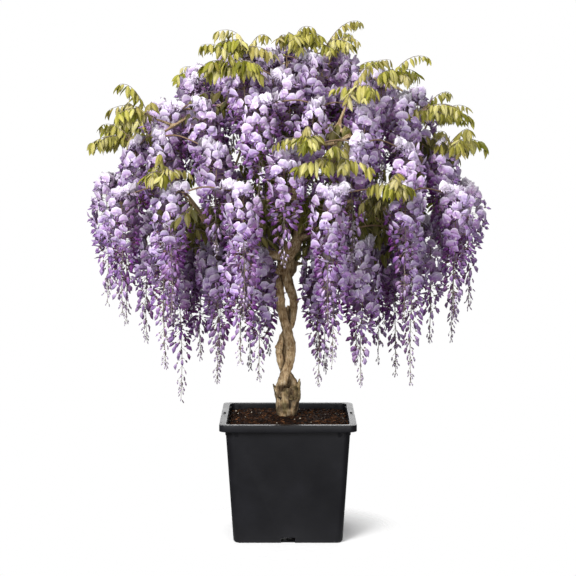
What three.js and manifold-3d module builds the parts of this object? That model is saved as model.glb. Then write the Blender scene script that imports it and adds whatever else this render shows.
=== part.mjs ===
// A wisteria grown as a small standard tree: two woody stems twisted together on a cut stump, limbs and
// twigs in a dome, hanging racemes of florets and young leafy shoots, in a square nursery pot of compost.
// Millimetres, +Z up. The pot stands on z = 0 around the Z axis, and -Y is the front.
import * as THREE from "three";
import { mergeVertices } from "three/addons/utils/BufferGeometryUtils.js";
import Module from "manifold-3d";

const wasm = await Module();
wasm.setup();

// Driving dimensions
const POT_HEIGHT = 250;
const POT_RIM = 140; // half the width of the rim
const POT_TOP = 127.5; // half the width of the body under the rim band
const POT_FOOT = 112.5; // half the width of the body at the foot
const POT_WALL = 2;
const CORNER = 14; // corner radius of the body
const BAND = 14; // height of the rim band
const NOTCH = [29, 14]; // drainage notch, width and height
const SLOT = [5, 33]; // label slot in the rim, width and length
const SOIL_EDGE = 238;
const SOIL_MOUND = 9;
const STUMP_FOOT = 180;
const TRUNK_X = -2; // the trunk stands a little left of the pot's middle
const GAP = 0.35; // clearance between neighbouring pieces
const STEM_RADIUS = 10;
const STEM_SWING = [12, 8.5]; // how far each stem stands off the trunk line, sideways and in depth
const HEAD_RADIUS = 46; // a raceme's widest radius
const CORE_SHARE = 0.56; // the core of a raceme, as a share of its radius
const ROW_PITCH = 46; // height of one row of florets
const NECK_RADIUS = 2.7;
const TWIG_RADIUS = 2.7;
const TWIG_STEPS = 3;
const LIKELY_SEATS = 8;
const DOWN = new THREE.Vector3(0, 0, -1);
const UP = new THREE.Vector3(0, 0, 1);

const at = (x, y, z) => new THREE.Vector3(x, y, z);
const degrees = THREE.MathUtils.degToRad;

/** Repeatable draws between -1 and 1. */
function draws(seed) {
  let state = seed;
  return () => {
    state = (Math.imul(state, 1664525) + 1013904223) >>> 0;
    return state / 2 ** 31 - 1;
  };
}

/** A closed solid from points and triangles, turned right side out. */
function solid(points, faces) {
  let volume = 0;
  for (const [a, b, c] of faces) {
    volume += points[a].dot(at(0, 0, 0).crossVectors(points[b], points[c]));
  }
  const outward = volume < 0 ? faces.map(([a, b, c]) => [a, c, b]) : faces;
  return new wasm.Manifold(new wasm.Mesh({
    numProp: 3,
    vertProperties: new Float32Array(points.flatMap((point) => point.toArray())),
    triVerts: new Uint32Array(outward.flat()),
  }));
}

/** Rings of equal count joined in turn, with a cap at each end. */
function loft(rings) {
  const count = rings[0].length;
  const last = (rings.length - 1) * count;
  const faces = [];
  for (let row = 0; row < last; row += count) {
    for (let j = 0; j < count; j++) {
      const a = row + j;
      const b = row + (j + 1) % count;
      faces.push([a, b, b + count], [a, b + count, a + count]);
    }
  }
  for (let j = 1; j + 1 < count; j++) {
    faces.push([0, j + 1, j], [last, last + j, last + j + 1]);
  }
  return solid(rings.flat(), faces);
}

/** Round rings square to a path, turning counter-clockwise seen from the path's start. */
function ringsAlong(path, radii, sides, endDirection) {
  const end = path.length - 1;
  let normal = null;
  return path.map((point, i) => {
    let direction = path[Math.min(i + 1, end)].clone().sub(path[Math.max(i - 1, 0)]).normalize();
    if (i === end && endDirection) {
      direction = endDirection;
    }
    normal ??= Math.abs(direction.z) > 0.9 ? at(1, 0, 0) : at(0, 0, 1);
    normal = normal.clone().addScaledVector(direction, -normal.dot(direction)).normalize();
    const side = normal.clone().cross(direction);
    return Array.from({ length: sides }, (_, j) => {
      const angle = (2 * Math.PI * j) / sides;
      return point.clone()
        .addScaledVector(normal, radii[i] * Math.cos(angle))
        .addScaledVector(side, radii[i] * Math.sin(angle));
    });
  });
}

/** A woody stem through hand-placed knots [x, y, z, radius]. */
function branch(knots, sides, steps) {
  const curve = new THREE.CatmullRomCurve3(knots.map(([x, y, z]) => at(x, y, z)), false, "centripetal");
  const path = [];
  const radii = [];
  for (let i = 0; i <= steps; i++) {
    const share = i / steps;
    const place = share * (knots.length - 1);
    const k = Math.min(Math.floor(place), knots.length - 2);
    path.push(curve.getPoint(share));
    radii.push(THREE.MathUtils.lerp(knots[k][3], knots[k + 1][3], place - k));
  }
  return { path, radii, solid: loft(ringsAlong(path, radii, sides)) };
}

/** Pieces grown into one body, with the slivers of the joins tidied away. */
const fuse = (pieces) => wasm.Manifold.union(pieces).asOriginal().simplify(0.3);

/** One named mesh from a solid. */
function mesh(name, body, material) {
  const { vertProperties, triVerts, numProp } = body.getMesh();
  const geometry = new THREE.BufferGeometry();
  const positions = new Float32Array((vertProperties.length / numProp) * 3);
  for (let i = 0; i < positions.length / 3; i++) {
    positions.set(vertProperties.subarray(i * numProp, i * numProp + 3), i * 3);
  }
  geometry.setAttribute("position", new THREE.BufferAttribute(positions, 3));
  geometry.setIndex(Array.from(triVerts));
  const result = new THREE.Mesh(mergeVertices(geometry, 1e-5), material);
  result.name = name;
  return result;
}

const materials = {
  plastic: new THREE.MeshStandardMaterial({ color: 0x26282b, roughness: 0.45, metalness: 0 }),
  soil: new THREE.MeshStandardMaterial({ color: 0x33241d, roughness: 0.95, metalness: 0 }),
  bark: new THREE.MeshStandardMaterial({ color: 0x97825c, roughness: 0.85, metalness: 0 }),
  petals: new THREE.MeshStandardMaterial({ color: 0x8f76b4, roughness: 0.6, metalness: 0 }),
  leaf: new THREE.MeshStandardMaterial({ color: 0xa8b84a, roughness: 0.55, metalness: 0 }),
};

// ---- Pot ----

/** A square ring with round corners, with extra points along each side. */
function squareRing(half, z, corner, alongSide = 0) {
  const ring = [];
  for (let side = 0; side < 4; side++) {
    const turn = side * 90;
    const centre = at(half - corner, half - corner, z);
    for (let k = 0; k < 4; k++) {
      const angle = degrees(k * 30);
      ring.push(centre.clone().add(at(corner * Math.cos(angle), corner * Math.sin(angle), 0))
        .applyAxisAngle(UP, degrees(turn)));
    }
    for (let k = 1; k <= alongSide; k++) {
      const x = (half - corner) * (1 - (2 * k) / (alongSide + 1));
      ring.push(at(x, half, z).applyAxisAngle(UP, degrees(turn)));
    }
  }
  return ring;
}

/** A block between two corners, used to cut. */
function block(low, high) {
  const geometry = new THREE.BoxGeometry(high.x - low.x, high.y - low.y, high.z - low.z);
  geometry.translate((low.x + high.x) / 2, (low.y + high.y) / 2, (low.z + high.z) / 2);
  geometry.deleteAttribute("normal");
  geometry.deleteAttribute("uv");
  const merged = mergeVertices(geometry);
  return new wasm.Manifold(new wasm.Mesh({
    numProp: 3,
    vertProperties: merged.attributes.position.array,
    triVerts: new Uint32Array(merged.index.array),
  }));
}

function makePot() {
  const bandFoot = POT_HEIGHT - BAND;
  const inside = (half) => half - POT_WALL;
  const profile = [
    [POT_FOOT - 3.5, 0, CORNER - 2],
    [POT_FOOT, 3.5, CORNER],
    [POT_TOP, bandFoot - 2, CORNER + 1],
    [POT_TOP, POT_HEIGHT - 2.5, CORNER + 1],
    [POT_RIM - 2.5, POT_HEIGHT - 2.5, CORNER],
    [POT_RIM - 2.5, bandFoot, CORNER],
    [POT_RIM, bandFoot, CORNER + 2],
    [POT_RIM, POT_HEIGHT - 1.2, CORNER + 2],
    [POT_RIM - 1.5, POT_HEIGHT, CORNER + 1],
    [inside(POT_TOP) + 0.5, POT_HEIGHT, CORNER - 1],
    [inside(POT_TOP), POT_HEIGHT - 3, CORNER - 1],
    [inside(POT_FOOT), 4, CORNER - 2],
    [inside(POT_FOOT) - 3, POT_WALL + 0.2, CORNER - 3],
  ];
  let pot = loft(profile.map(([half, z, corner]) => squareRing(half, z, corner)));
  for (let side = 0; side < 4; side++) {
    const low = at(-NOTCH[0] / 2, POT_FOOT - 14, -1);
    const high = at(NOTCH[0] / 2, POT_TOP, NOTCH[1]);
    pot = pot.subtract(block(low, high).rotate([0, 0, side * 90]));
  }
  for (const side of [-1, 1]) {
    const middle = side * (POT_RIM - 7);
    const low = at(middle - SLOT[0] / 2, -SLOT[1] / 2, POT_HEIGHT - 5);
    const high = at(middle + SLOT[0] / 2, SLOT[1] / 2, POT_HEIGHT + 1);
    pot = pot.subtract(block(low, high));
  }
  return pot;
}

// ---- Soil ----

const STUMP_HOLE = 26;

function makeSoil() {
  const draw = draws(11);
  const alongSide = 2;
  const wallAt = (z) => THREE.MathUtils.mapLinear(z, 4, POT_HEIGHT - 3, POT_FOOT, POT_TOP) - POT_WALL - GAP;
  const outer = [
    squareRing(POT_FOOT - POT_WALL - 3.5, POT_WALL + 0.6, CORNER - 3.4, alongSide),
    squareRing(wallAt(6), 6, CORNER - 2.4, alongSide),
    squareRing(wallAt(SOIL_EDGE), SOIL_EDGE, CORNER - 1.4, alongSide),
  ];
  const rim = outer[2];
  const shares = [0.86, 0.7, 0.52, 0.36];
  const top = shares.map((share) => rim.map((point) => {
    const round = at(point.x, point.y, 0).setLength(share * POT_TOP);
    const square = at(point.x * share, point.y * share, 0);
    const height = SOIL_EDGE + SOIL_MOUND * (1 - share * share) + 2.2 * draw();
    return square.lerp(round, 1 - share).setZ(height);
  }));
  const hole = (z) => rim.map((point) => at(point.x, point.y, 0).setLength(STUMP_HOLE).add(at(TRUNK_X, 0, z)));
  return loft([...outer, ...top, hole(SOIL_EDGE + SOIL_MOUND), hole(STUMP_FOOT - GAP)]);
}

// ---- Trunk: stump, twisted stems, fork ----

const CUT_TOP = 307;

function makeStump() {
  const draw = draws(23);
  const profile = [
    [STUMP_FOOT, 20], [206, 22.5], [236, 24.6], [250, 24.6], [268, 22.6], [288, 24.6], [CUT_TOP - 5, 25.8],
  ];
  const sides = 12;
  const rings = profile.map(([z, radius]) => Array.from({ length: sides }, (_, j) => {
    const angle = (2 * Math.PI * j) / sides;
    const rough = z > 255 ? 1 + 0.07 * draw() : 1;
    const ragged = z > 290 ? 4 * draw() : 0;
    return at(radius * rough * Math.cos(angle) + TRUNK_X, radius * rough * Math.sin(angle), z + ragged);
  }));
  rings.push(rings.at(-1).map((point) => at(point.x * 0.7, point.y * 0.7, CUT_TOP)));
  const shards = [
    [[-21, -5, 292, 5], [-28, -6, 304, 3], [-32, -7, 314, 0.8]],
    [[18, -4, 292, 6], [22, -4, 310, 4], [24.5, -4, 326, 0.8]],
    [[4, 18, 292, 6], [6, 21, 306, 4], [7, 22, 317, 0.8]],
  ];
  return [loft(rings), ...shards.map((knots) => branch(knots, 4, 2).solid)];
}

// Where the first stem stands around the trunk line, in degrees, as the pair climbs. It turns back once.
const TWIST = [[266, 190], [296, 218], [328, 270], [375, 342], [423, 270], [476, 180], [530, 90], [572, 14]];

function twistedStem(turned) {
  const around = new THREE.SplineCurve(TWIST.map(([z, angle]) => new THREE.Vector2(z, angle)));
  const steps = 15;
  const path = [];
  const radii = [];
  for (let i = 0; i <= steps; i++) {
    const place = around.getPoint(i / steps);
    const angle = degrees(place.y + turned);
    path.push(at(STEM_SWING[0] * Math.cos(angle) + TRUNK_X, STEM_SWING[1] * Math.sin(angle), place.x));
    radii.push(STEM_RADIUS - (i / steps));
  }
  return loft(ringsAlong(path, radii, 7));
}

// ---- Limbs, as knots [x, y, z, radius] ----

const FORK = [[-4, 0, 545, 12], [-2, -1, 560, 18], [0, -2, 575, 20.5], [3, -1, 590, 17], [8, 2, 603, 11]];
const LEADER = [
  [2, 0, 565, 13], [8, 3, 592, 12], [19, 6, 617, 11], [22, 8, 648, 9.5], [12, 5, 710, 8],
  [2, 2, 790, 6.5], [-2, 0, 880, 5], [0, 0, 985, 4],
];
const LIMBS = [
  [[-6, -3, 576, 9], [-45, -8, 589, 8], [-80, -10, 600, 7.5], [-140, -16, 634, 6.5], [-205, -14, 676, 4.5]],
  [[-12, -8, 545, 6], [-46, -22, 566, 4.6], [-78, -40, 590, 4.2], [-112, -88, 632, 4], [-150, -140, 672, 3.6]],
  [[18, 5, 615, 8], [66, 2, 636, 7], [132, -6, 660, 6], [205, -14, 684, 4.5]],
  [[21, 7, 634, 7], [56, -50, 655, 6], [92, -118, 676, 5], [124, -170, 694, 4]],
  [[19, 9, 640, 7], [62, 62, 660, 6], [108, 122, 678, 5], [146, 160, 692, 4]],
  [[3, 5, 598, 8], [-42, 56, 630, 6.5], [-92, 118, 664, 5], [-128, 162, 686, 4]],
  [[16, 10, 660, 6], [12, 76, 680, 5.5], [4, 140, 696, 5], [0, 200, 706, 4]],
  [[15, 2, 690, 6], [2, -70, 700, 5], [-20, -140, 706, 4.5], [-40, -196, 712, 4]],
];
const SNAGS = [
  [[14, -6, 566, 5], [25, -8, 567, 3], [35, -9, 565, 1]],
  [[9, 0, 488, 7], [19, -1, 488, 5], [22.5, -1, 489, 2]],
  [[-12, 0, 391, 7], [-23, -1, 391, 5], [-27, -1, 392, 2]],
];

// ---- Places of the racemes ----

// Tiers of racemes: radius, height of the flower heads, number, length, half angle left open at the front.
const TIERS = [
  { radius: 54, head: 985, count: 3, length: 165, open: 0 },
  { radius: 130, head: 966, count: 8, length: 175, open: 0 },
  { radius: 198, head: 928, count: 11, length: 185, open: 0 },
  { radius: 264, head: 870, count: 14, length: 195, open: 0 },
  { radius: 320, head: 793, count: 15, length: 192, open: 0 },
  { radius: 372, head: 706, count: 15, length: 232, open: 13 },
  { radius: 308, head: 634, count: 10, length: 240, open: 23 },
  { radius: 228, head: 592, count: 8, length: 255, open: 39 },
  { radius: 148, head: 574, count: 6, length: 238, open: 24 },
];
// Tips of the lowest racemes along the hem, as x and height.
const HEM = [[-217, 280], [-286, 368], [-352, 420], [-64, 336], [57, 330], [143, 336], [252, 332], [344, 380]];
const HEM_FROM_TIER = 5;

/** How wide a raceme is, as a share, a fraction t of the way down its flowers. */
function fullness(t) {
  const shoulder = Math.min(1, 0.4 + 5 * t);
  return shoulder * Math.max(0, 1 - t ** 1.8) ** 0.8;
}

/** The widest a raceme gets at height z, florets' droop included. */
function reachAt(raceme, z) {
  const t = (raceme.head - z) / raceme.length;
  const here = Math.max(fullness(THREE.MathUtils.clamp(t, 0, 1)), fullness(Math.max(0, t - 0.07)));
  return t < 0 || t > 1 ? 0 : HEAD_RADIUS * here;
}

function placeRacemes() {
  const draw = draws(5);
  const racemes = [];
  TIERS.forEach((tier, index) => {
    const spread = tier.open ? (360 - 2 * tier.open) / (tier.count - 1) : 360 / tier.count;
    const start = -90 + (tier.open || spread * 0.5 * (index % 2));
    for (let i = 0; i < tier.count; i++) {
      const angle = degrees(start + i * spread + (tier.open ? 0 : 4 * draw()));
      const radius = tier.radius + 5 * draw();
      racemes.push({
        tier: index,
        place: new THREE.Vector2(radius * Math.cos(angle), radius * Math.sin(angle)),
        head: tier.head + 10 * draw(),
        length: tier.length + 10 * draw(),
      });
    }
  });
  for (const [x, tip] of HEM) {
    const low = racemes.filter((raceme) => raceme.tier >= HEM_FROM_TIER && !raceme.hem);
    const miss = (raceme) => Math.abs(raceme.place.x - x) + 0.35 * Math.abs(raceme.head - raceme.length - tip);
    const nearest = low.reduce((best, raceme) => (miss(raceme) < miss(best) ? raceme : best));
    nearest.hem = true;
    nearest.length = nearest.head - tip;
  }
  spreadApart(racemes);
  return racemes;
}

/** Moves the hanging racemes sideways until none touches another. */
function spreadApart(racemes) {
  const spare = 2.5;
  const window = 56; // clear half width in front of the trunk
  const home = racemes.map((raceme) => raceme.place.clone());
  const needed = racemes.map((a) => racemes.map((b) => {
    let need = 0;
    for (let z = 260; z < 1000; z += 10) {
      const [one, two] = [reachAt(a, z), reachAt(b, z)];
      need = one && two ? Math.max(need, one + two + spare) : need;
    }
    return need;
  }));
  for (let pass = 0; pass < 600; pass++) {
    for (let i = 0; i < racemes.length; i++) {
      for (let j = 0; j < i; j++) {
        const away = racemes[i].place.clone().sub(racemes[j].place);
        const short = needed[i][j] - away.length();
        if (short > 0) {
          away.setLength(short * 0.5);
          racemes[i].place.add(away);
          racemes[j].place.sub(away);
        }
      }
      const { place, head, length } = racemes[i];
      place.lerp(home[i], pass < 400 ? 0.02 : 0);
      place.clampLength(52, TIERS[racemes[i].tier].radius + 3);
      if (place.y < 0 && head - length < 560 && Math.abs(place.x) < window) {
        place.x = Math.sign(place.x) * window;
      }
    }
  }
}

// ---- Clearances ----

const racemes = placeRacemes();
const wood = [branch(LEADER, 6, 14), ...LIMBS.map((knots) => branch(knots, 5, 7))];
const rods = []; // straight rods already placed, as { line, radius, isWood }
const forks = []; // points on the wood where a twig can start

/** Notes a limb or twig as placed, and its middle points as places where further twigs can start. */
function placeWood(path, radii) {
  for (let i = 1; i < path.length; i++) {
    rods.push({ line: new THREE.Line3(path[i - 1], path[i]), radius: radii[i - 1], isWood: true });
  }
  forks.push(...path.slice(1, -1));
}

for (const { path, radii } of wood) {
  placeWood(path, radii);
}

/** How far a point is from a raceme, roughly. */
function clearOfRaceme(point, raceme) {
  const z = THREE.MathUtils.clamp(point.z, raceme.head - raceme.length, raceme.head);
  const across = Math.hypot(point.x - raceme.place.x, point.y - raceme.place.y) - reachAt(raceme, z);
  return z === point.z ? across : Math.hypot(Math.max(across, 0), point.z - z);
}

const spot = at(0, 0, 0);

/** How far a point is from a rod. */
function clearOfRod(point, { line, radius }) {
  return line.closestPointToPoint(point, true, spot).distanceTo(point) - radius;
}

/** A measure of the clear room around any point near a centre. */
function roomNear(centre, range, wood) {
  const hanging = racemes.filter((raceme) => clearOfRaceme(centre, raceme) < range);
  const lying = rods.filter((rod) => (wood || !rod.isWood) && clearOfRod(centre, rod) < range);
  return (point) => {
    let least = Infinity;
    for (const raceme of hanging) {
      least = Math.min(least, clearOfRaceme(point, raceme));
    }
    for (const rod of lying) {
      least = Math.min(least, clearOfRod(point, rod));
    }
    return least;
  };
}

/** A cost that rises as points come closer than wanted to what is placed. */
function crowding(points, wanted, room) {
  return points.reduce((sum, point) => sum + Math.max(0, wanted - room(point)) ** 2, 0);
}

const between = (from, to, steps) =>
  Array.from({ length: steps + 1 }, (_, i) => from.clone().lerp(to, i / steps));

// ---- Twigs from the wood to every seat ----

/** The clearest bent way from the wood to a seat, facing what it carries by at least the given cosine. */
function routeTwig(seat, arms, facing) {
  const near = forks
    .filter((place) => place.z < seat.z + 60 && place.distanceTo(seat) > 30)
    .sort((a, b) => a.distanceTo(seat) - b.distanceTo(seat))
    .slice(0, 30);
  const room = roomNear(seat, near.at(-1).distanceTo(seat), false);
  let best = { cost: Infinity };
  for (const place of near) {
    const across = at(seat.x - place.x, seat.y - place.y, 0).normalize().cross(UP);
    for (const share of [0.45, 0.75]) {
      for (const rise of [-70, -45, -22, 0, 20, 40]) {
        for (const swing of [-50, -30, -14, 0, 14, 30, 50]) {
          const knee = place.clone().lerp(seat, share).addScaledVector(UP, rise).addScaledVector(across, swing);
          const heading = seat.clone().sub(knee).normalize();
          const travel = place.distanceTo(knee) + knee.distanceTo(seat)
            + arms.reduce((sum, arm) => sum + 200 * Math.max(0, facing - heading.dot(arm)), 0);
          if (travel < best.cost) {
            const path = new THREE.QuadraticBezierCurve3(place, knee, seat).getPoints(TWIG_STEPS);
            const samples = path.slice(1).flatMap((point, i) => between(path[i], point, 4));
            const cost = travel + 60 * crowding(samples.slice(0, -1), 6.2, room);
            best = cost < best.cost ? { cost, path, heading } : best;
          }
        }
      }
    }
  }
  return best;
}

const twigRadii = Array.from({ length: TWIG_STEPS + 1 }, (_, i) => TWIG_RADIUS + 0.4 * (TWIG_STEPS - i));

const makeTwig = ({ path, heading }) => loft(ringsAlong(path, twigRadii, 4, heading));

/** The best of the likeliest seats once its twig is counted, with that twig placed. */
function chooseSeat(seats, armsOf, facing) {
  const likely = seats.sort((a, b) => a.cost - b.cost).slice(0, LIKELY_SEATS);
  let best = { total: Infinity };
  for (const seat of likely) {
    const twig = routeTwig(seat.place, armsOf(seat), facing);
    const total = seat.cost + twig.cost;
    best = total < best.total ? { ...seat, twig, total } : best;
  }
  placeWood(best.twig.path, twigRadii);
  return best;
}

// ---- Sprays: two or three racemes on one spur ----

const SPUR_LENGTH = 12;
const SPUR_RADIUS = 4.5;
const BEND = 13; // how far above its flowers a raceme's neck turns down

const bendOf = (raceme) => at(raceme.place.x, raceme.place.y, raceme.head + BEND);

/** Neighbouring racemes of each tier, in threes, or in twos where threes don't divide it. */
function groupRacemes() {
  const groups = [];
  TIERS.forEach((tier, index) => {
    const members = racemes.filter((raceme) => raceme.tier === index);
    const ringStart = tier.open ? -90 : -180;
    const angleOf = ({ place }) => (THREE.MathUtils.radToDeg(place.angle()) - ringStart + 720) % 360;
    members.sort((a, b) => angleOf(a) - angleOf(b));
    let left = members.length;
    while (left > 0) {
      const size = left === 4 || left === 2 || members.length === 4 ? 2 : Math.min(3, left);
      groups.push({ tier: index, racemes: members.slice(members.length - left, members.length - left + size) });
      left -= size;
    }
  });
  return groups;
}

/** A seat for a spray's spur near its racemes' heads, with the twig that reaches it. */
function seatSpray(group) {
  const bends = group.racemes.map(bendOf);
  const middle = bends.reduce((sum, bend) => sum.add(bend), at(0, 0, 0)).divideScalar(bends.length);
  const top = Math.max(...bends.map((bend) => bend.z));
  const inward = at(-middle.x, -middle.y, 0).normalize();
  const sideways = inward.clone().cross(UP);
  const room = roomNear(middle, 150, true);
  const seats = [];
  for (let back = -24; back <= 48; back += 8) {
    for (let shift = -48; shift <= 48; shift += 8) {
      for (const rise of [2, 10, 20, 32]) {
        const place = middle.clone().addScaledVector(inward, back).addScaledVector(sideways, shift)
          .setZ(top + rise);
        const reach = bends.reduce((sum, bend) => sum + place.distanceTo(bend), 0);
        const nearest = Math.min(...bends.map((bend) => place.distanceTo(bend)));
        const necks = bends.flatMap((bend) => between(place, bend, 9));
        const cost = 100 * crowding(necks, 6.6, room) + 20 * crowding([place], 14, room)
          + reach + 20 * Math.max(0, 26 - nearest);
        seats.push({ place, cost });
      }
    }
  }
  const armsOf = ({ place }) => bends.map((bend) => bend.clone().sub(place).normalize());
  const best = chooseSeat(seats, armsOf, -0.3);
  for (const bend of bends) {
    rods.push({ line: new THREE.Line3(best.place, bend), radius: NECK_RADIUS });
  }
  return best;
}

/** A raceme with its neck: from the spur, over the bend, then staggered rows of florets to a fine tip. */
function makeRaceme(spur, raceme) {
  const { place, head, length } = raceme;
  const corners = 4;
  const rows = Math.round(length / ROW_PITCH);
  const neck = ringsAlong(
    [spur, bendOf(raceme), at(place.x, place.y, head)],
    [NECK_RADIUS, NECK_RADIUS, NECK_RADIUS], corners, DOWN,
  );
  const first = neck[2][0].clone().sub(at(place.x, place.y, head));
  const start = Math.atan2(first.y, first.x);
  const points = neck.flat();
  const faces = [[0, 1, 2], [0, 2, 3]];
  const index = (row, j) => (row + 2) * corners + ((j + corners) % corners);
  const rim = (radius, angle, z) => at(place.x + radius * Math.cos(angle), place.y + radius * Math.sin(angle), z);
  for (let row = -2; row < 0; row++) {
    for (let j = 0; j < corners; j++) {
      const [a, b, c, d] = [index(row, j), index(row + 1, j), index(row + 1, j + 1), index(row, j + 1)];
      faces.push([a, b, c], [a, c, d]);
    }
  }
  const down = (row) => 0.1 + (0.8 * (row - 1)) / (rows - 1);
  for (let row = 1; row <= rows; row++) {
    const radius = Math.max(2.2, CORE_SHARE * HEAD_RADIUS * fullness(down(row)));
    for (let j = 0; j < corners; j++) {
      points.push(rim(radius, start + ((j + row / 2) * 2 * Math.PI) / corners, head - length * down(row)));
    }
  }
  const tip = points.push(at(place.x, place.y, head - length)) - 1;
  for (let j = 0; j < corners; j++) {
    faces.push([index(0, j), index(1, j), index(0, j + 1)]);
  }
  for (let row = 1; row <= rows; row++) {
    const radius = HEAD_RADIUS * fullness(down(row));
    for (let j = 0; j < corners; j++) {
      const angle = start + ((j + row / 2 + 0.5) * 2 * Math.PI) / corners;
      const floret = points.push(rim(radius, angle, head - length * (down(row) + 0.045))) - 1;
      const below = row < rows ? index(row + 1, j) : tip;
      const [above, left, right] = [index(row - 1, j + 1), index(row, j), index(row, j + 1)];
      faces.push([above, left, floret], [left, below, floret], [below, right, floret], [right, above, floret]);
    }
  }
  return solid(points, faces);
}

function makeSpray(group) {
  const { place, twig: { heading } } = group.seat;
  const start = place.clone().addScaledVector(heading, GAP);
  const end = place.clone().addScaledVector(heading, SPUR_LENGTH);
  const root = place.clone().addScaledVector(heading, SPUR_LENGTH / 2);
  const spur = loft(ringsAlong([start, end], [SPUR_RADIUS, SPUR_RADIUS], 4));
  return fuse([spur, ...group.racemes.map((raceme) => makeRaceme(root, raceme))]);
}

// ---- Leafy shoots ----

// Shoots on the dome as azimuth from +X, height, lean from level, and number of leaves.
const SHOOTS = [
  [-80, 1004, 62, 3], [-42, 994, 50, 2], [-124, 992, 48, 2], [-117, 940, 34, 2], [-152, 868, 26, 2],
  [-171, 818, 14, 2], [-128, 762, 8, 3], [-86, 824, 16, 2], [-76, 786, 6, 2], [-64, 910, 30, 2],
  [-35, 938, 38, 2], [-22, 876, 26, 2], [-14, 798, 12, 2], [-60, 742, 6, 3],
  [90, 996, 55, 2], [50, 948, 38, 2], [140, 940, 36, 2], [20, 862, 20, 2], [95, 850, 20, 2], [165, 842, 18, 2],
];
// The dome's surface, as height and radius.
const DOME = [[1040, 30], [1000, 110], [985, 165], [957, 222], [905, 280], [854, 322], [803, 345], [751, 385],
  [699, 402]];
const SHOOT_LENGTH = 24;
const STALK_RADIUS = 2.4;
const LEAF_LENGTH = 94;

function domeRadius(z) {
  const k = Math.max(1, DOME.findIndex(([height]) => height < z));
  return THREE.MathUtils.mapLinear(z, DOME[k - 1][0], DOME[k][0], DOME[k - 1][1], DOME[k][1]);
}

// One leaf's outline, along its rib and out to one side, and where each point lies on the leaf's droop.
const RIB = 1.2;
const LEAF = { petiole: 0.26, pair: 0.24, bulge: [0.07, 0.13], tip: [0.23, 0.36], terminal: [0.1, 0.08] };
const BLADE = 0.9;

/** The outline of a leaf with two pairs of leaflets and one at its end, as [along, aside]. */
function leafPlan() {
  const { petiole, pair, bulge, tip, terminal } = LEAF;
  const rungs = [0, petiole, petiole + pair, petiole + 2 * pair];
  const points = [];
  const faces = [];
  for (const along of rungs) {
    points.push([along, RIB / LEAF_LENGTH], [along, -RIB / LEAF_LENGTH]);
  }
  faces.push([0, 1, 3], [0, 3, 2]);
  for (let k = 1; k < 3; k++) {
    faces.push([2 * k, 2 * k + 1, 2 * k + 3], [2 * k, 2 * k + 3, 2 * k + 2]);
    for (const side of [0, 1]) {
      const sign = side ? -1 : 1;
      const shrink = k === 1 ? 1 : 0.85;
      const wide = points.push([rungs[k] + bulge[0], sign * bulge[1] * shrink]) - 1;
      const end = points.push([rungs[k] + tip[0], sign * tip[1] * shrink]) - 1;
      const [here, next] = [2 * k + side, 2 * k + 2 + side];
      faces.push(side ? [here, wide, end] : [here, end, wide], side ? [here, end, next] : [here, next, end]);
    }
  }
  const left = points.push([rungs[3] + terminal[0], terminal[1]]) - 1;
  const right = points.push([rungs[3] + terminal[0], -terminal[1]]) - 1;
  const end = points.push([1.02, 0]) - 1;
  faces.push([6, 7, right], [6, right, left], [left, right, end]);
  return { points, faces };
}

const PLAN = leafPlan();

/** Where the points of one drooping leaf lie, on its upper face. */
function leafPoints(base, heading, size) {
  const flat = at(heading.x, heading.y, 0).normalize();
  const aside = UP.clone().cross(flat);
  return PLAN.points.map(([along, side]) => {
    const sag = 0.42 * along * along + 0.6 * Math.abs(side);
    return base.clone()
      .addScaledVector(heading, along * size)
      .addScaledVector(aside, side * size)
      .addScaledVector(UP, -sag * size);
  });
}

/** A thin plate under the upper face, with the same triangles on both sides. */
function makeLeaf(points) {
  const count = points.length;
  const lower = points.map((point) => point.clone().addScaledVector(UP, -BLADE));
  const faces = [...PLAN.faces, ...PLAN.faces.map(([a, b, c]) => [a + count, c + count, b + count])];
  const edges = new Set(PLAN.faces.flatMap(([a, b, c]) => [`${a},${b}`, `${b},${c}`, `${c},${a}`]));
  for (const edge of edges) {
    const [a, b] = edge.split(",").map(Number);
    if (!edges.has(`${b},${a}`)) {
      faces.push([b, a, a + count], [b, a + count, b + count]);
    }
  }
  return solid([...points, ...lower], faces);
}

/** Leaves spread around a shoot's end, one turned straight on. */
function leafHeadings(heading, count, turn) {
  const level = at(heading.x, heading.y, 0).normalize();
  const turns = count === 3 ? [-62, 0, 62] : [-34, 34];
  return turns.map((angle) => level.clone().applyAxisAngle(UP, degrees(angle + turn))
    .setZ(0.5 + 0.6 * Math.max(0, heading.z)).normalize());
}

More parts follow.
